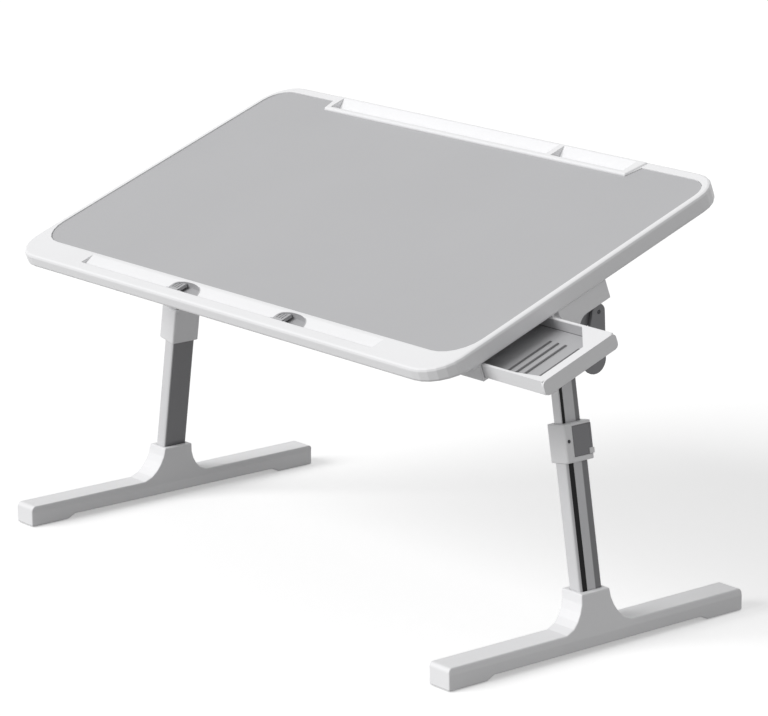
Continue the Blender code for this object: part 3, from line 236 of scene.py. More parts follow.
class BedTableTrims(bpy.types.PropertyGroup):
    """Lock cheeks in the brackets and hinge caps on the clamp levers"""

    cheek_front: FloatProperty(
        name="Cheek front", description="Fold axis to the cheek's front", default=0.014, unit="LENGTH"
    )
    cheek_back: FloatProperty(
        name="Cheek back", description="Fold axis to the cheek's back", default=0.0115, unit="LENGTH"
    )
    cheek_top: FloatProperty(
        name="Cheek top", description="Fold axis down to the cheek's top", default=0.004, unit="LENGTH"
    )
    cheek_bottom: FloatProperty(
        name="Cheek bottom", description="Fold axis down to its bottom", default=0.017, unit="LENGTH"
    )
    cheek_inner: FloatProperty(
        name="Cheek inner", description="Fold axis out to its inner face", default=0.0335, unit="LENGTH"
    )
    cheek_outer: FloatProperty(
        name="Cheek outer", description="Fold axis out to its outer face", default=0.0369, unit="LENGTH"
    )
    cheek_round: FloatProperty(
        name="Cheek round", description="Radius of the cheek's edges", default=0.0006, unit="LENGTH"
    )
    stud_radius: FloatProperty(
        name="Stud radius", description="Radius of the small screw heads", default=0.0011, unit="LENGTH"
    )
    stud_height: FloatProperty(
        name="Stud height", description="Height of the small screw heads", default=0.0004, unit="LENGTH"
    )
    cap_inner: FloatProperty(
        name="Cap inner", description="Leg's middle to the cap's inner face", default=0.0112, unit="LENGTH"
    )
    cap_outer: FloatProperty(
        name="Cap outer", description="Leg's middle to the cap's outer face", default=0.0136, unit="LENGTH"
    )
    cap_front: FloatProperty(
        name="Cap front", description="Leg's middle back to the cap's front", default=0.0098, unit="LENGTH"
    )
    cap_back: FloatProperty(
        name="Cap back", description="Leg's middle back to the cap's back", default=0.0148, unit="LENGTH"
    )
    cap_top: FloatProperty(
        name="Cap top", description="Tilt axis down to the cap's top", default=0.1035, unit="LENGTH"
    )
    cap_bottom: FloatProperty(
        name="Cap bottom", description="Tilt axis down to its bottom", default=0.1083, unit="LENGTH"
    )
    cap_round: FloatProperty(
        name="Cap round", description="Radius of the cap's edges", default=0.0005, unit="LENGTH"
    )


class BedTableStudio(bpy.types.PropertyGroup):
    """Camera, lamps and floor"""

    camera_place: FloatVectorProperty(
        name="Camera place",
        description="Where the camera stands",
        default=(2.4429, -1.96806, 0.99536),
        subtype="TRANSLATION",
    )
    camera_turn: FloatVectorProperty(
        name="Camera turn",
        description="How the camera is turned",
        default=(math.radians(75.69981), math.radians(0.47226), math.radians(50.9937)),
        subtype="EULER",
    )
    camera_lens: FloatProperty(
        name="Camera lens", description="Focal length in millimetres", default=174.292
    )
    lamp_strength: FloatProperty(
        name="Lamp strength", description="Strength of the large soft lamp", default=2.15
    )
    lamp_softness: FloatProperty(
        name="Lamp softness",
        description="Angle that the lamp fills",
        default=math.radians(35),
        subtype="ANGLE",
    )
    lamp_place: FloatVectorProperty(
        name="Lamp direction",
        description="The lamp shines from this direction",
        default=(-0.9, -3.0, 1.95),
        subtype="DIRECTION",
    )
    room_light: FloatProperty(
        name="Room light", description="Strength of the light from all round", default=0.5
    )
    floor_size: FloatProperty(
        name="Floor size", description="Width of the floor", default=30.0, unit="LENGTH"
    )


def add_node(tree, kind, place=(0, 0), **values):
    node = tree.nodes.new(kind)
    node.location = place
    for name, value in values.items():
        if hasattr(node, name):
            setattr(node, name, value)
        else:
            node.inputs[name.replace("_", " ").title()].default_value = value
    return node


def shade(colour, share):
    """The colour made darker or lighter by a share."""
    return (*(min(1.0, part * share) for part in colour), 1.0)


def new_finish(name):
    """An empty finish: its node tree, its main shader, and coordinates in metres."""
    material = bpy.data.materials.new(name)
    material.use_nodes = True
    tree = material.node_tree
    shader = tree.nodes["Principled BSDF"]
    coordinates = add_node(tree, "ShaderNodeTexCoord", (-1200, 0))
    return material, tree, shader, coordinates.outputs["Object"]


def add_noise(tree, vector, scale, detail, stretch=(1, 1, 1), place=(-900, 0)):
    mapping = add_node(tree, "ShaderNodeMapping", (place[0] - 200, place[1]))
    mapping.inputs["Scale"].default_value = stretch
    tree.links.new(vector, mapping.inputs["Vector"])
    noise = add_node(tree, "ShaderNodeTexNoise", place)
    noise.inputs["Scale"].default_value = scale
    noise.inputs["Detail"].default_value = detail
    tree.links.new(mapping.outputs["Vector"], noise.inputs["Vector"])
    return noise.outputs["Fac"]


def join_colours(tree, factor, under, over, place=(-500, 200)):
    """One colour laid over another where the factor is high; either may be a socket or a plain colour."""
    mix = add_node(tree, "ShaderNodeMix", place, data_type="RGBA")
    slots = [socket for socket in mix.inputs if socket.type == "RGBA"]
    for slot, colour in zip(slots, (under, over)):
        if isinstance(colour, tuple):
            slot.default_value = colour
        else:
            tree.links.new(colour, slot)
    tree.links.new(factor, mix.inputs["Factor"])
    return [socket for socket in mix.outputs if socket.type == "RGBA"][0]


def map_range(tree, value, low, high, place=(-500, -100)):
    span = add_node(tree, "ShaderNodeMapRange", place)
    span.inputs["To Min"].default_value = low
    span.inputs["To Max"].default_value = high
    tree.links.new(value, span.inputs["Value"])
    return span.outputs["Result"]


def raise_surface(tree, shader, height, strength, depth, softness, place=(-300, -300)):
    """Bumps the surface by a height and softens its edges."""
    bump = add_node(tree, "ShaderNodeBump", place)
    bump.inputs["Strength"].default_value = strength
    bump.inputs["Distance"].default_value = depth
    tree.links.new(height, bump.inputs["Height"])
    if softness > 0:
        bevel = add_node(tree, "ShaderNodeBevel", (place[0] - 200, place[1] - 100))
        bevel.samples = 6
        bevel.inputs["Radius"].default_value = softness
        tree.links.new(bevel.outputs["Normal"], bump.inputs["Normal"])
    tree.links.new(bump.outputs["Normal"], shader.inputs["Normal"])


def moulded_plastic(name, colour, roughness, grain, softness):
    """Fine moulded grain, faint flow marks and rubbed patches of gloss."""
    material, tree, shader, place = new_finish(name)
    flow = add_noise(tree, place, 9, 3, (1, 1, 2.5), (-900, 300))
    fine = add_noise(tree, place, grain, 2, place=(-900, -200))
    rub = add_noise(tree, place, 45, 4, place=(-900, 0))
    colour_out = join_colours(tree, flow, shade(colour, 0.97), shade(colour, 1.03))
    tree.links.new(colour_out, shader.inputs["Base Color"])
    tree.links.new(map_range(tree, rub, roughness - 0.07, roughness + 0.07), shader.inputs["Roughness"])
    raise_surface(tree, shader, fine, 0.22, 0.00004, softness)
    return material


def along(tree, vector, direction, place=(-900, 500)):
    """How far a point or a normal reaches along a direction."""
    dot = add_node(tree, "ShaderNodeVectorMath", place, operation="DOT_PRODUCT")
    tree.links.new(vector, dot.inputs[0])
    dot.inputs[1].default_value = direction
    return dot.outputs["Value"]


def step_over(tree, value, start, end, place=(-700, 500)):
    """0 below the start, 1 above the end, and a smooth rise between them."""
    span = add_node(tree, "ShaderNodeMapRange", place, interpolation_type="SMOOTHSTEP")
    span.inputs["From Min"].default_value = start
    span.inputs["From Max"].default_value = end
    tree.links.new(value, span.inputs["Value"])
    return span.outputs["Result"]


def scaled(tree, value, factor):
    """A value times a number or another value."""
    node = add_node(tree, "ShaderNodeMath", (-700, 900), operation="MULTIPLY")
    tree.links.new(value, node.inputs[0])
    if isinstance(factor, (int, float)):
        node.inputs[1].default_value = factor
    else:
        tree.links.new(factor, node.inputs[1])
    return node.outputs[0]


def offset(tree, value, amount):
    """A value with a number or another value added."""
    node = add_node(tree, "ShaderNodeMath", (-800, 1100), operation="ADD")
    tree.links.new(value, node.inputs[0])
    if isinstance(amount, (int, float)):
        node.inputs[1].default_value = amount
    else:
        tree.links.new(amount, node.inputs[1])
    return node.outputs[0]


def raised(tree, value, power):
    """The size of a value raised to a power."""
    size = add_node(tree, "ShaderNodeMath", (-900, 1300), operation="ABSOLUTE")
    tree.links.new(value, size.inputs[0])
    node = add_node(tree, "ShaderNodeMath", (-800, 1300), operation="POWER")
    tree.links.new(size.outputs[0], node.inputs[0])
    node.inputs[1].default_value = power
    return node.outputs[0]


def base_colour_source(shader):
    return shader.inputs["Base Color"].links[0].from_socket


def drawer_plastic_painted_shade(name, finishes, hollow):
    """The shell's moulded plastic, with painted shade greying the inside of the tray and painted shadow lines
    as dark bands at the height of the ribs.
    """
    material = moulded_plastic(
        name, finishes.shell_colour, 0.42, finishes.shell_grain, finishes.edge_softness
    )
    tree = material.node_tree
    shader = tree.nodes["Principled BSDF"]
    point = [node for node in tree.nodes if node.type == "TEX_COORD"][0].outputs["Object"]
    blur = 0.0003
    inside = None
    for number, (direction, low, high) in enumerate(hollow["walls"]):
        reach = along(tree, point, direction, (-1000, 600 + 300 * number))
        for value, limit in ((reach, low), (scaled(tree, reach, -1), -high)):
            within = step_over(tree, value, limit - blur, limit + blur)
            inside = within if inside is None else scaled(tree, inside, within)
    height = along(tree, point, TOP_NORMAL, (-1000, 1500))
    rib = step_over(tree, height, hollow["floor"] + blur, hollow["floor"] + 2 * blur)
    over = step_over(tree, scaled(tree, height, -1), -hollow["rib"] - blur, -hollow["rib"])
    band = scaled(tree, rib, over)
    # Painted shade: grey fills the inside of the tray, and the band at the ribs' height takes a darker painted
    # shadow line.
    grey = shade(finishes.drawer_shade_colour, 1)
    dark = shade(finishes.drawer_shade_colour, 0.3)
    painted_shade_colour = join_colours(tree, band, grey, dark, (-600, 1200))
    shell = base_colour_source(shader)
    tree.links.new(join_colours(tree, inside, shell, painted_shade_colour, (-300, 900)), shader.inputs["Base Color"])
    return material


def frame_plastic_pocket_shade(name, finishes, pockets):
    """The shell's moulded plastic, with painted shade greying the inside of the stops' pockets."""
    material = moulded_plastic(
        name, finishes.shell_colour, 0.42, finishes.shell_grain, finishes.edge_softness
    )
    tree = material.node_tree
    shader = tree.nodes["Principled BSDF"]
    point = [node for node in tree.nodes if node.type == "TEX_COORD"][0].outputs["Object"]
    sizes = pockets["sizes"]
    height = along(tree, point, TOP_NORMAL, (-1400, 900))
    below = step_over(tree, scaled(tree, height, -1), -pockets["top"] + 0.0002, -pockets["top"] + 0.0006)
    depth = offset(tree, along(tree, point, TOP_BACK, (-1400, 1200)), -pockets["front"])
    behind = step_over(tree, depth, -0.0003, 0)
    below = scaled(tree, below, behind)
    swell = raised(tree, scaled(tree, depth, 1 / sizes.pocket_reach), 3.3)
    across = along(tree, point, (1, 0, 0), (-1400, 1500))
    colour = base_colour_source(shader)
    for number, middle in enumerate(pockets["middles"]):
        reach = scaled(tree, offset(tree, across, -middle), 1 / sizes.pocket_half)
        total = offset(tree, raised(tree, reach, 2), swell)
        # Painted shade: the pocket's half-moon below the band's top turns grey.
        ring = scaled(tree, step_over(tree, scaled(tree, total, -1), -1.2, -1.1), below)
        colour = join_colours(tree, ring, colour, shade(finishes.pocket_shade_colour, 1), (-400, 900 + 200 * number))
    tree.links.new(colour, shader.inputs["Base Color"])
    return material


def tube_painted_light(name, finishes, outward):
    """Drawn tube with painted light: narrow faces painted bright as if lit, the outer face a painted
    half-shade grey with a painted dark reflection along its back edge, and the inner face painted dark as
    shade.
    """
    material = drawn_metal(name, finishes.tube_edge_colour, 0.35, 0.4, (1, 1, 0.02), 0.0004)
    tree = material.node_tree
    shader = tree.nodes["Principled BSDF"]
    coordinates = [node for node in tree.nodes if node.type == "TEX_COORD"][0]
    # Painted light: each face's colour is picked by the way it turns, bright toward the front, grey outward
    # and dark inward, with a painted dark reflection along the outer face's back edge.
    facing = coordinates.outputs["Normal"]
    dark = shade(finishes.tube_inner_colour, 1)
    grey = shade(finishes.tube_outer_colour, 1)
    back = step_over(tree, along(tree, coordinates.outputs["Object"], (0, 1, 0)), 0.0064, 0.0078)
    outer = join_colours(tree, back, grey, dark, (-500, 700))
    outside = step_over(tree, along(tree, facing, (outward, 0, 0)), 0.1, 0.3)
    shaded_faces = join_colours(tree, outside, dark, outer, (-400, 600))
    narrow = step_over(tree, along(tree, facing, (0, -1, 0)), 0.5, 0.8)
    edges = base_colour_source(shader)
    tree.links.new(join_colours(tree, narrow, shaded_faces, edges, (-300, 500)), shader.inputs["Base Color"])
    return material


def pebbled_mat(name, colour, grain):
    """Small pebbles with darker valleys, and a faint broad mottle."""
    material, tree, shader, place = new_finish(name)
    cells = add_node(tree, "ShaderNodeTexVoronoi", (-900, -300), feature="SMOOTH_F1")
    cells.inputs["Scale"].default_value = grain
    cells.inputs["Smoothness"].default_value = 0.6
    tree.links.new(place, cells.inputs["Vector"])
    mottle = add_noise(tree, place, 6, 5, place=(-900, 300))
    speck = add_noise(tree, place, grain * 0.7, 3, place=(-900, 0))
    blend = add_node(tree, "ShaderNodeMath", (-700, 200), operation="MULTIPLY_ADD")
    blend.inputs[1].default_value = 0.6
    tree.links.new(mottle, blend.inputs[0])
    scaled = add_node(tree, "ShaderNodeMath", (-700, 50), operation="MULTIPLY")
    scaled.inputs[1].default_value = 0.4
    tree.links.new(speck, scaled.inputs[0])
    tree.links.new(scaled.outputs[0], blend.inputs[2])
    colour_out = join_colours(tree, blend.outputs[0], shade(colour, 0.93), shade(colour, 1.07))
    tree.links.new(colour_out, shader.inputs["Base Color"])
    tree.links.new(map_range(tree, speck, 0.55, 0.75), shader.inputs["Roughness"])
    raise_surface(tree, shader, cells.outputs["Distance"], 0.35, 0.00012, 0)
    return material


def fibreboard(name, colour):
    """Pressed fibres with flecks."""
    material, tree, shader, place = new_finish(name)
    fibre = add_noise(tree, place, 260, 6, (1, 0.25, 1), (-900, 200))
    fleck = add_noise(tree, place, 900, 2, place=(-900, -100))
    tree.links.new(
        join_colours(tree, fibre, shade(colour, 0.8), shade(colour, 1.15)), shader.inputs["Base Color"]
    )
    tree.links.new(map_range(tree, fleck, 0.7, 0.9), shader.inputs["Roughness"])
    raise_surface(tree, shader, fleck, 0.4, 0.0001, 0)
    return material


def drawn_metal(name, colour, metallic, roughness, stretch, softness):
    """Fine drawn lines along the piece, with soft changes of gloss."""
    material, tree, shader, place = new_finish(name)
    lines = add_noise(tree, place, 700, 4, stretch, (-900, 0))
    patches = add_noise(tree, place, 25, 3, place=(-900, 300))
    tree.links.new(
        join_colours(tree, patches, shade(colour, 0.95), shade(colour, 1.05)), shader.inputs["Base Color"]
    )
    tree.links.new(map_range(tree, lines, roughness - 0.06, roughness + 0.08), shader.inputs["Roughness"])
    shader.inputs["Metallic"].default_value = metallic
    raise_surface(tree, shader, lines, 0.12, 0.00003, softness)
    return material


def foot_rubber(name, colour):
    """Dull rubber with a powdery grain."""
    material, tree, shader, place = new_finish(name)
    powder = add_noise(tree, place, 1100, 5, place=(-900, 0))
    bloom = add_noise(tree, place, 60, 3, place=(-900, 300))
    tree.links.new(
        join_colours(tree, bloom, shade(colour, 0.85), shade(colour, 1.15)), shader.inputs["Base Color"]
    )
    tree.links.new(map_range(tree, powder, 0.75, 0.95), shader.inputs["Roughness"])
    raise_surface(tree, shader, powder, 0.4, 0.00008, 0)
    return material


def finish_named(name, maker, *values):
    """The finish of that name, made once and shared by the pieces that take it."""
    return bpy.data.materials.get(name) or maker(name, *values)


def shell_finish(finishes):
    return finish_named(
        "white_moulded_shell",
        moulded_plastic,
        finishes.shell_colour,
        0.42,
        finishes.shell_grain,
        finishes.edge_softness,
    )


def lever_finish(finishes):
    return finish_named(
        "grey_lever_plastic",
        moulded_plastic,
        finishes.lever_colour,
        0.45,
        finishes.shell_grain,
        finishes.edge_softness,
    )


def steel_finish(finishes):
    return finish_named("plated_steel", drawn_metal, finishes.steel_colour, 1.0, 0.32, (1, 1, 1), 0.0003)


def dark_steel_finish(finishes):
    return finish_named(
        "blackened_steel", drawn_metal, finishes.dark_steel_colour, 0.6, 0.5, (1, 1, 1), 0.0003
    )


def tube_finish(finishes, side, outward):
    return finish_named("anodised_tube_" + side, tube_painted_light, finishes, outward)


def dress(material, *names):
    """Gives CAD nodes their finish; a name that ends in _ stands for its left and right pieces."""
    for name in names:
        nodes = [name + side for side, sign in SIDES] if name.endswith("_") else [name]
        for node in nodes:
            mesh = frame["nodes"][node].data
            mesh.materials.clear()
            mesh.materials.append(material)


def frame_pockets(sizes):
    """Where the stops' pockets lie, found from the frame's own edges."""
    points = [vertex.co for vertex in frame["nodes"]["top_frame"].data.vertices]
    left = min(point.x for point in points)
    return {
        "sizes": sizes,
        "top": max(point.dot(Vector(TOP_NORMAL)) for point in points) - sizes.bar_rise,
        "front": min(point.dot(Vector(TOP_BACK)) for point in points) + sizes.pocket_front,
        "middles": (left + sizes.pocket_left, left + sizes.pocket_right),
    }


class BEDTABLE_OT_tabletop(bpy.types.Operator):
    """Dress the frame, mat, board, cover, drawer channels and their screws"""

    bl_idname = "bedtable.tabletop"
    bl_label = "Tabletop"

    def execute(self, context):
        finishes = context.scene.bed_table_finishes
        pockets = frame_pockets(context.scene.bed_table_pockets)
        dress(finish_named("frame_moulded_shell", frame_plastic_pocket_shade, finishes, pockets), "top_frame")
        dress(shell_finish(finishes), "bottom_cover", "drawer_rail")
        dress(finish_named("pebbled_mat", pebbled_mat, finishes.mat_colour, finishes.mat_grain), "desk_mat")
        dress(finish_named("fibreboard", fibreboard, finishes.board_colour), "core_board")
        dress(steel_finish(finishes), "rail_screw_front", "rail_screw_middle", "rail_screw_back")
        return {"FINISHED"}


class BEDTABLE_OT_stops(bpy.types.Operator):
    """Dress the flip-up stops and their pins"""

    bl_idname = "bedtable.stops"
    bl_label = "Stops"

    def execute(self, context):
        finishes = context.scene.bed_table_finishes
        # Painted shade: the white stops take the pockets' grey, standing in for the shade they lie in.
        grey = finish_named(
            "grey_stop_plastic",
            moulded_plastic,
            finishes.pocket_shade_colour,
            0.45,
            finishes.shell_grain,
            finishes.edge_softness / 2,
        )
        dress(grey, "stop_tab_")
        dress(steel_finish(finishes), "stop_pin_")
        return {"FINISHED"}


def drawer_hollow():
    """The inside of the drawer: its walls across, along and up, and the heights of floor and ribs."""
    points = [vertex.co for vertex in frame["nodes"]["drawer_tray"].data.vertices]
    up = Vector(TOP_NORMAL)
    back = Vector(TOP_BACK)
    right = max(point.x for point in points)
    heights = sorted(point.dot(up) for point in points)
    depths = sorted(point.dot(back) for point in points)
    floor = heights[0] + 0.0026
    return {
        "floor": floor,
        "rib": floor + 0.001,
        "walls": (
            ((1, 0, 0), right - 0.2, right - 0.0102),
            (tuple(back), depths[0] + 0.0031, depths[-1] - 0.0018),
            (tuple(up), floor - 0.0005, heights[-1] - 0.0009),
        ),
    }


class BEDTABLE_OT_drawer(bpy.types.Operator):
    """Dress the drawer tray"""

    bl_idname = "bedtable.drawer"
    bl_label = "Drawer"

    def execute(self, context):
        finishes = context.scene.bed_table_finishes
        dress(finish_named("drawer_moulded_shell", drawer_plastic_painted_shade, finishes, drawer_hollow()), "drawer_tray")
        return {"FINISHED"}


class BEDTABLE_OT_brackets(bpy.types.Operator):
    """Dress the brackets, fold blocks, tilt locks and their pins"""

    bl_idname = "bedtable.brackets"
    bl_label = "Brackets and locks"

    def execute(self, context):
        finishes = context.scene.bed_table_finishes
        dress(shell_finish(finishes), "bracket_", "leg_head_")
        dress(lever_finish(finishes), "fold_block_", "tilt_lever_")
        dress(
            steel_finish(finishes),
            "fold_pin_",
            "tilt_pin_",
            "tilt_pawl_",
            "ratchet_sector_",
        )
        dress(dark_steel_finish(finishes), "block_screw_", "lever_shaft_")
        sizes = context.scene.bed_table_trims
        for side, sign in SIDES:
            for place in ("front", "back"):
                dress(steel_finish(finishes), f"bracket_screw_{side}_{place}")
            square = top_place(side)
            outline = (
                (-sizes.cheek_front, -sizes.cheek_bottom),
                (-sizes.cheek_front, -sizes.cheek_bottom * 0.7),
                (-sizes.cheek_front * 0.3, -sizes.cheek_top),
                (sizes.cheek_back, -sizes.cheek_top),
                (sizes.cheek_back, -sizes.cheek_bottom),
            )
            cheek = add_plate(
                "lock_cheek_" + side,
                sign,
                outline,
                sizes.cheek_inner,
                sizes.cheek_outer,
                sizes.cheek_round,
                square,
            )
            cheek.data.materials.append(lever_finish(finishes))
            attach(cheek, "fold_" + side)
            for number, share in enumerate((0.62, 0.3)):
                centre = (sizes.cheek_outer, -sizes.cheek_front * share, -sizes.cheek_bottom * 0.72)
                stud = add_stud(
                    f"lock_stud_{side}_{number + 1}",
                    sign,
                    centre,
                    sizes.stud_radius,
                    sizes.stud_height,
                    square,
                )
                stud.data.materials.append(dark_steel_finish(finishes))
                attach(stud, "fold_" + side)
        return {"FINISHED"}


def joint_place(name):
    return Vector([joint for joint in frame["joints"] if joint["name"] == name][0]["pos_m"])


def leg_place(side, sign, splay):
    """The leg's own directions: down the leg is -Z, outward is the side's own sign along X."""
    return Matrix.Translation(joint_place("tilt_hinge_" + side)) @ Matrix.Rotation(-sign * splay, 4, "Y")


def top_place(side):
    """The fold block's own directions, square to the tilted top."""
    return Matrix.Translation(joint_place("fold_hinge_" + side)) @ Matrix.Rotation(TOP_TILT, 4, "X")


def link_piece(name, shape, place):
    shape.transform(place)
    bmesh.ops.recalc_face_normals(shape, faces=shape.faces)
    mesh = bpy.data.meshes.new(name)
    shape.to_mesh(mesh)
    shape.free()
    piece = bpy.data.objects.new(name, mesh)
    bpy.context.scene.collection.objects.link(piece)
    return piece


def add_block(name, sign, low, high, rounding, place):
    """A block with rounded edges between two corners, mirrored to its side."""
    shape = bmesh.new()
    bmesh.ops.create_cube(shape, size=1)
    span = Vector(high) - Vector(low)
    middle = (Vector(high) + Vector(low)) / 2
    bmesh.ops.scale(shape, vec=span, verts=shape.verts)
    bmesh.ops.bevel(shape, geom=shape.edges[:], offset=rounding, segments=2, profile=0.5, affect="EDGES")
    bmesh.ops.translate(shape, vec=middle, verts=shape.verts)
    bmesh.ops.scale(shape, vec=(sign, 1, 1), verts=shape.verts)
    return link_piece(name, shape, place)


def add_plate(name, sign, outline, inner, outer, rounding, place):
    """A plate cut to an outline across the table's side, with rounded outer edges."""
    shape = bmesh.new()
    ring = [shape.verts.new((inner, y, z)) for y, z in outline]
    face = shape.faces.new(ring)
    grown = bmesh.ops.extrude_face_region(shape, geom=[face])["geom"]
    moved = [item for item in grown if isinstance(item, bmesh.types.BMVert)]
    bmesh.ops.translate(shape, vec=(outer - inner, 0, 0), verts=moved)
    rim = [edge for edge in shape.edges if all(vertex in moved for vertex in edge.verts)]
    bmesh.ops.bevel(shape, geom=rim, offset=rounding, segments=2, profile=0.5, affect="EDGES")
    bmesh.ops.scale(shape, vec=(sign, 1, 1), verts=shape.verts)
    return link_piece(name, shape, place)


def add_stud(name, sign, centre, radius, height, place):
    """A small domed screw head that faces outward."""
    shape = bmesh.new()
    bmesh.ops.create_uvsphere(shape, u_segments=14, v_segments=8, radius=radius)
    bmesh.ops.scale(shape, vec=(height / radius, 1, 1), verts=shape.verts)
    bmesh.ops.translate(shape, vec=centre, verts=shape.verts)
    bmesh.ops.scale(shape, vec=(sign, 1, 1), verts=shape.verts)
    return link_piece(name, shape, place)


def add_stripe(name, side, sign, sizes, part):
    """A thin strip with rounded edges that lies in the groove of one tube."""
    face = getattr(sizes, part + "_face") + sizes.thickness / 10
    middle = getattr(sizes, part + "_middle")
    half = getattr(sizes, part + "_width") / 2
    start = getattr(sizes, part + "_start")
    end = getattr(sizes, part + "_end")
    low = (face, middle - half, -end)
    high = (face + sizes.thickness, middle + half, -start)
    return add_block(name, sign, low, high, sizes.thickness / 4, leg_place(side, sign, sizes.splay))


class BEDTABLE_OT_legs(bpy.types.Operator):
    """Dress the tubes and their plugs, and lay near-black strips in their grooves as painted shade and
    reflection
    """

    bl_idname = "bedtable.legs"
    bl_label = "Legs"

    def execute(self, context):
        finishes = context.scene.bed_table_finishes
        sizes = context.scene.bed_table_stripes
        for side, sign in SIDES:
            dress(tube_finish(finishes, side, sign), "upper_tube_" + side, "lower_tube_" + side)
        dress(lever_finish(finishes), "tube_plug_")
        # Painted shade and reflection: the strips' near-black stands in for the groove's shade and dark
        # reflection.
        black = finish_named(
            "black_strip", moulded_plastic, finishes.groove_shade_colour, 0.5, finishes.shell_grain, 0
        )
        black.node_tree.nodes["Principled BSDF"].inputs["Specular IOR Level"].default_value = 0.15
        for side, sign in SIDES:
            for part, body in (("upper", "leg_"), ("lower", "lower_")):
                stripe = add_stripe(f"{part}_stripe_{side}", side, sign, sizes, part)
                stripe.data.materials.append(black)
                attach(stripe, body + side)
        return {"FINISHED"}


class BEDTABLE_OT_collars(bpy.types.Operator):
    """Dress the clamp collars, their levers, pins and screws"""

    bl_idname = "bedtable.collars"
    bl_label = "Clamp collars"

    def execute(self, context):
        finishes = context.scene.bed_table_finishes
        dress(shell_finish(finishes), "clamp_collar_")
        dress(lever_finish(finishes), "clamp_lever_")
        dress(steel_finish(finishes), "clamp_pin_")
        dress(dark_steel_finish(finishes), "clamp_screw_")
        sizes = context.scene.bed_table_trims
        for side, sign in SIDES:
            place = leg_place(side, sign, context.scene.bed_table_stripes.splay)
            low = (sizes.cap_inner, sizes.cap_front, -sizes.cap_bottom)
            high = (sizes.cap_outer, sizes.cap_back, -sizes.cap_top)
            cap = add_block("hinge_cap_" + side, sign, low, high, sizes.cap_round, place)
            cap.data.materials.append(shell_finish(finishes))
            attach(cap, "lower_" + side)
        return {"FINISHED"}


class BEDTABLE_OT_feet(bpy.types.Operator):
    """Dress the feet and their pads"""

    bl_idname = "bedtable.feet"
    bl_label = "Feet"

    def execute(self, context):
        finishes = context.scene.bed_table_finishes
        dress(shell_finish(finishes), "foot_")
        rubber = finish_named("foot_rubber", foot_rubber, finishes.rubber_colour)
        for side, sign in SIDES:
            dress(rubber, f"foot_pad_{side}_front", f"foot_pad_{side}_back")
        return {"FINISHED"}


def seen_directly(tree):
    """1 for rays from the camera, mirror-like rays and rays through clear things, else 0."""
    path = add_node(tree, "ShaderNodeLightPath", (-600, 200))
    seen = add_node(tree, "ShaderNodeMath", (-400, 200), operation="MAXIMUM")
    tree.links.new(path.outputs["Is Camera Ray"], seen.inputs[0])
    tree.links.new(path.outputs["Is Glossy Ray"], seen.inputs[1])
    clear = add_node(tree, "ShaderNodeMath", (-300, 200), operation="MAXIMUM")
    tree.links.new(seen.outputs[0], clear.inputs[0])
    tree.links.new(path.outputs["Is Transmission Ray"], clear.inputs[1])
    return clear.outputs[0]


def floor_finish():
    """A pale floor that looks white to the camera, keeps shadows, and throws less light back up."""
    material = bpy.data.materials.new("pale_floor")
    material.use_nodes = True
    tree = material.node_tree
    tree.nodes.clear()
    seen = seen_directly(tree)
    pale = add_node(tree, "ShaderNodeBsdfDiffuse", (-400, 0))
    pale.inputs["Color"].default_value = FLOOR_SEEN_COLOUR
    glow = add_node(tree, "ShaderNodeEmission", (-400, -150))
    glow.inputs["Strength"].default_value = FLOOR_GLOW
    white = add_node(tree, "ShaderNodeAddShader", (-200, 0))
    dull = add_node(tree, "ShaderNodeBsdfDiffuse", (-200, -200))
    dull.inputs["Color"].default_value = FLOOR_LIT_COLOUR
    mix = add_node(tree, "ShaderNodeMixShader", (0, 0))
    output = add_node(tree, "ShaderNodeOutputMaterial", (200, 0))
    tree.links.new(pale.outputs[0], white.inputs[0])
    tree.links.new(glow.outputs[0], white.inputs[1])
    tree.links.new(seen, mix.inputs[0])
    tree.links.new(dull.outputs[0], mix.inputs[1])
    tree.links.new(white.outputs[0], mix.inputs[2])
    tree.links.new(mix.outputs[0], output.inputs["Surface"])
    return material


def light_room(scene, strength):
    """An even white room: plain white where the camera sees it, softer where it lights the table."""
    world = bpy.data.worlds.new("white_room")
    scene.world = world
    world.use_nodes = True
    tree = world.node_tree
    tree.nodes.clear()
    seen = seen_directly(tree)
    level = map_range(tree, seen, strength, 1.0, (-200, 200))
    background = add_node(tree, "ShaderNodeBackground", (0, 0))
    background.inputs["Color"].default_value = (1, 1, 1, 1)
    tree.links.new(level, background.inputs["Strength"])
    output = add_node(tree, "ShaderNodeOutputWorld", (200, 0))
    tree.links.new(background.outputs[0], output.inputs["Surface"])


class BEDTABLE_OT_studio(bpy.types.Operator):
    """Lay the floor, light the room and place the camera"""

    bl_idname = "bedtable.studio"
    bl_label = "Studio"

    def execute(self, context):
        scene = context.scene
        studio = scene.bed_table_studio
        shape = bmesh.new()
        bmesh.ops.create_grid(shape, x_segments=1, y_segments=1, size=studio.floor_size / 2)
        mesh = bpy.data.meshes.new("floor")
        shape.to_mesh(mesh)
        shape.free()
        mesh.materials.append(floor_finish())
        floor = bpy.data.objects.new("floor", mesh)
        scene.collection.objects.link(floor)
        light_room(scene, studio.room_light)
        lamp = bpy.data.lights.new("soft_lamp", "SUN")
        lamp.energy = studio.lamp_strength
        lamp.angle = studio.lamp_softness
        holder = bpy.data.objects.new("soft_lamp", lamp)
        holder.location = studio.lamp_place
        holder.rotation_euler = Vector(studio.lamp_place).to_track_quat("Z", "Y").to_euler()
        scene.collection.objects.link(holder)
        camera = bpy.data.cameras.new("camera")
        camera.lens = studio.camera_lens
        camera.sensor_width = SENSOR_WIDTH
        camera.sensor_fit = "HORIZONTAL"
        camera.clip_end = FARTHEST_SEEN
        viewer = bpy.data.objects.new("camera", camera)
        viewer.location = studio.camera_place
        viewer.rotation_euler = studio.camera_turn
        scene.collection.objects.link(viewer)
        scene.camera = viewer
        scene.view_settings.view_transform = "Standard"
        return {"FINISHED"}


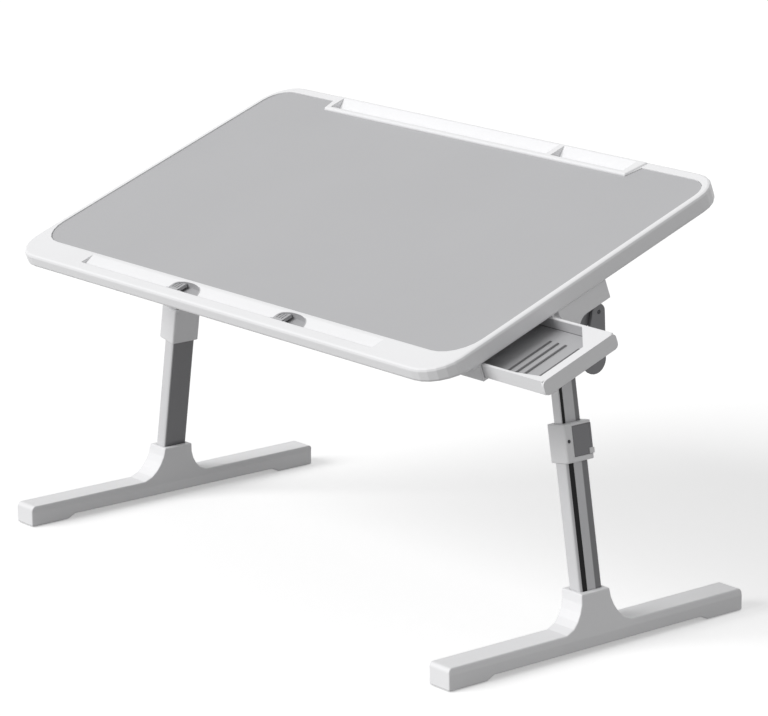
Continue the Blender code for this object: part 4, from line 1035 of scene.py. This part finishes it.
class BEDTABLE_PT_panel(bpy.types.Panel):
    """The bed table's steps and settings"""

    bl_idname = "BEDTABLE_PT_panel"
    bl_label = "Bed table"
    bl_space_type = "VIEW_3D"
    bl_region_type = "UI"
    bl_category = "Bed table"

    def draw(self, context):
        layout = self.layout
        for step in STEPS:
            layout.operator(step.bl_idname)
        for group in (
            context.scene.bed_table_finishes,
            context.scene.bed_table_pockets,
            context.scene.bed_table_stripes,
            context.scene.bed_table_trims,
            context.scene.bed_table_studio,
        ):
            box = layout.box()
            for name in group.bl_rna.properties.keys():
                if name not in {"rna_type", "name"}:
                    box.prop(group, name)


GROUPS = (BedTableFinishes, BedTablePockets, BedTableStripes, BedTableTrims, BedTableStudio)
STEPS = (
    BEDTABLE_OT_tabletop,
    BEDTABLE_OT_stops,
    BEDTABLE_OT_drawer,
    BEDTABLE_OT_brackets,
    BEDTABLE_OT_legs,
    BEDTABLE_OT_collars,
    BEDTABLE_OT_feet,
    BEDTABLE_OT_studio,
)
CLASSES = (*GROUPS, *STEPS, BEDTABLE_PT_panel)


def register():
    for item in CLASSES:
        bpy.utils.register_class(item)
    bpy.types.Scene.bed_table_finishes = PointerProperty(type=BedTableFinishes)
    bpy.types.Scene.bed_table_pockets = PointerProperty(type=BedTablePockets)
    bpy.types.Scene.bed_table_stripes = PointerProperty(type=BedTableStripes)
    bpy.types.Scene.bed_table_trims = PointerProperty(type=BedTableTrims)
    bpy.types.Scene.bed_table_studio = PointerProperty(type=BedTableStudio)


def unregister():
    del bpy.types.Scene.bed_table_studio
    del bpy.types.Scene.bed_table_trims
    del bpy.types.Scene.bed_table_stripes
    del bpy.types.Scene.bed_table_pockets
    del bpy.types.Scene.bed_table_finishes
    for item in reversed(CLASSES):
        bpy.utils.unregister_class(item)


def main():
    register()
    bpy.ops.bedtable.tabletop()
    bpy.ops.bedtable.stops()
    bpy.ops.bedtable.drawer()
    bpy.ops.bedtable.brackets()
    bpy.ops.bedtable.legs()
    bpy.ops.bedtable.collars()
    bpy.ops.bedtable.feet()
    bpy.ops.bedtable.studio()


if __name__ == "__main__":
    main()
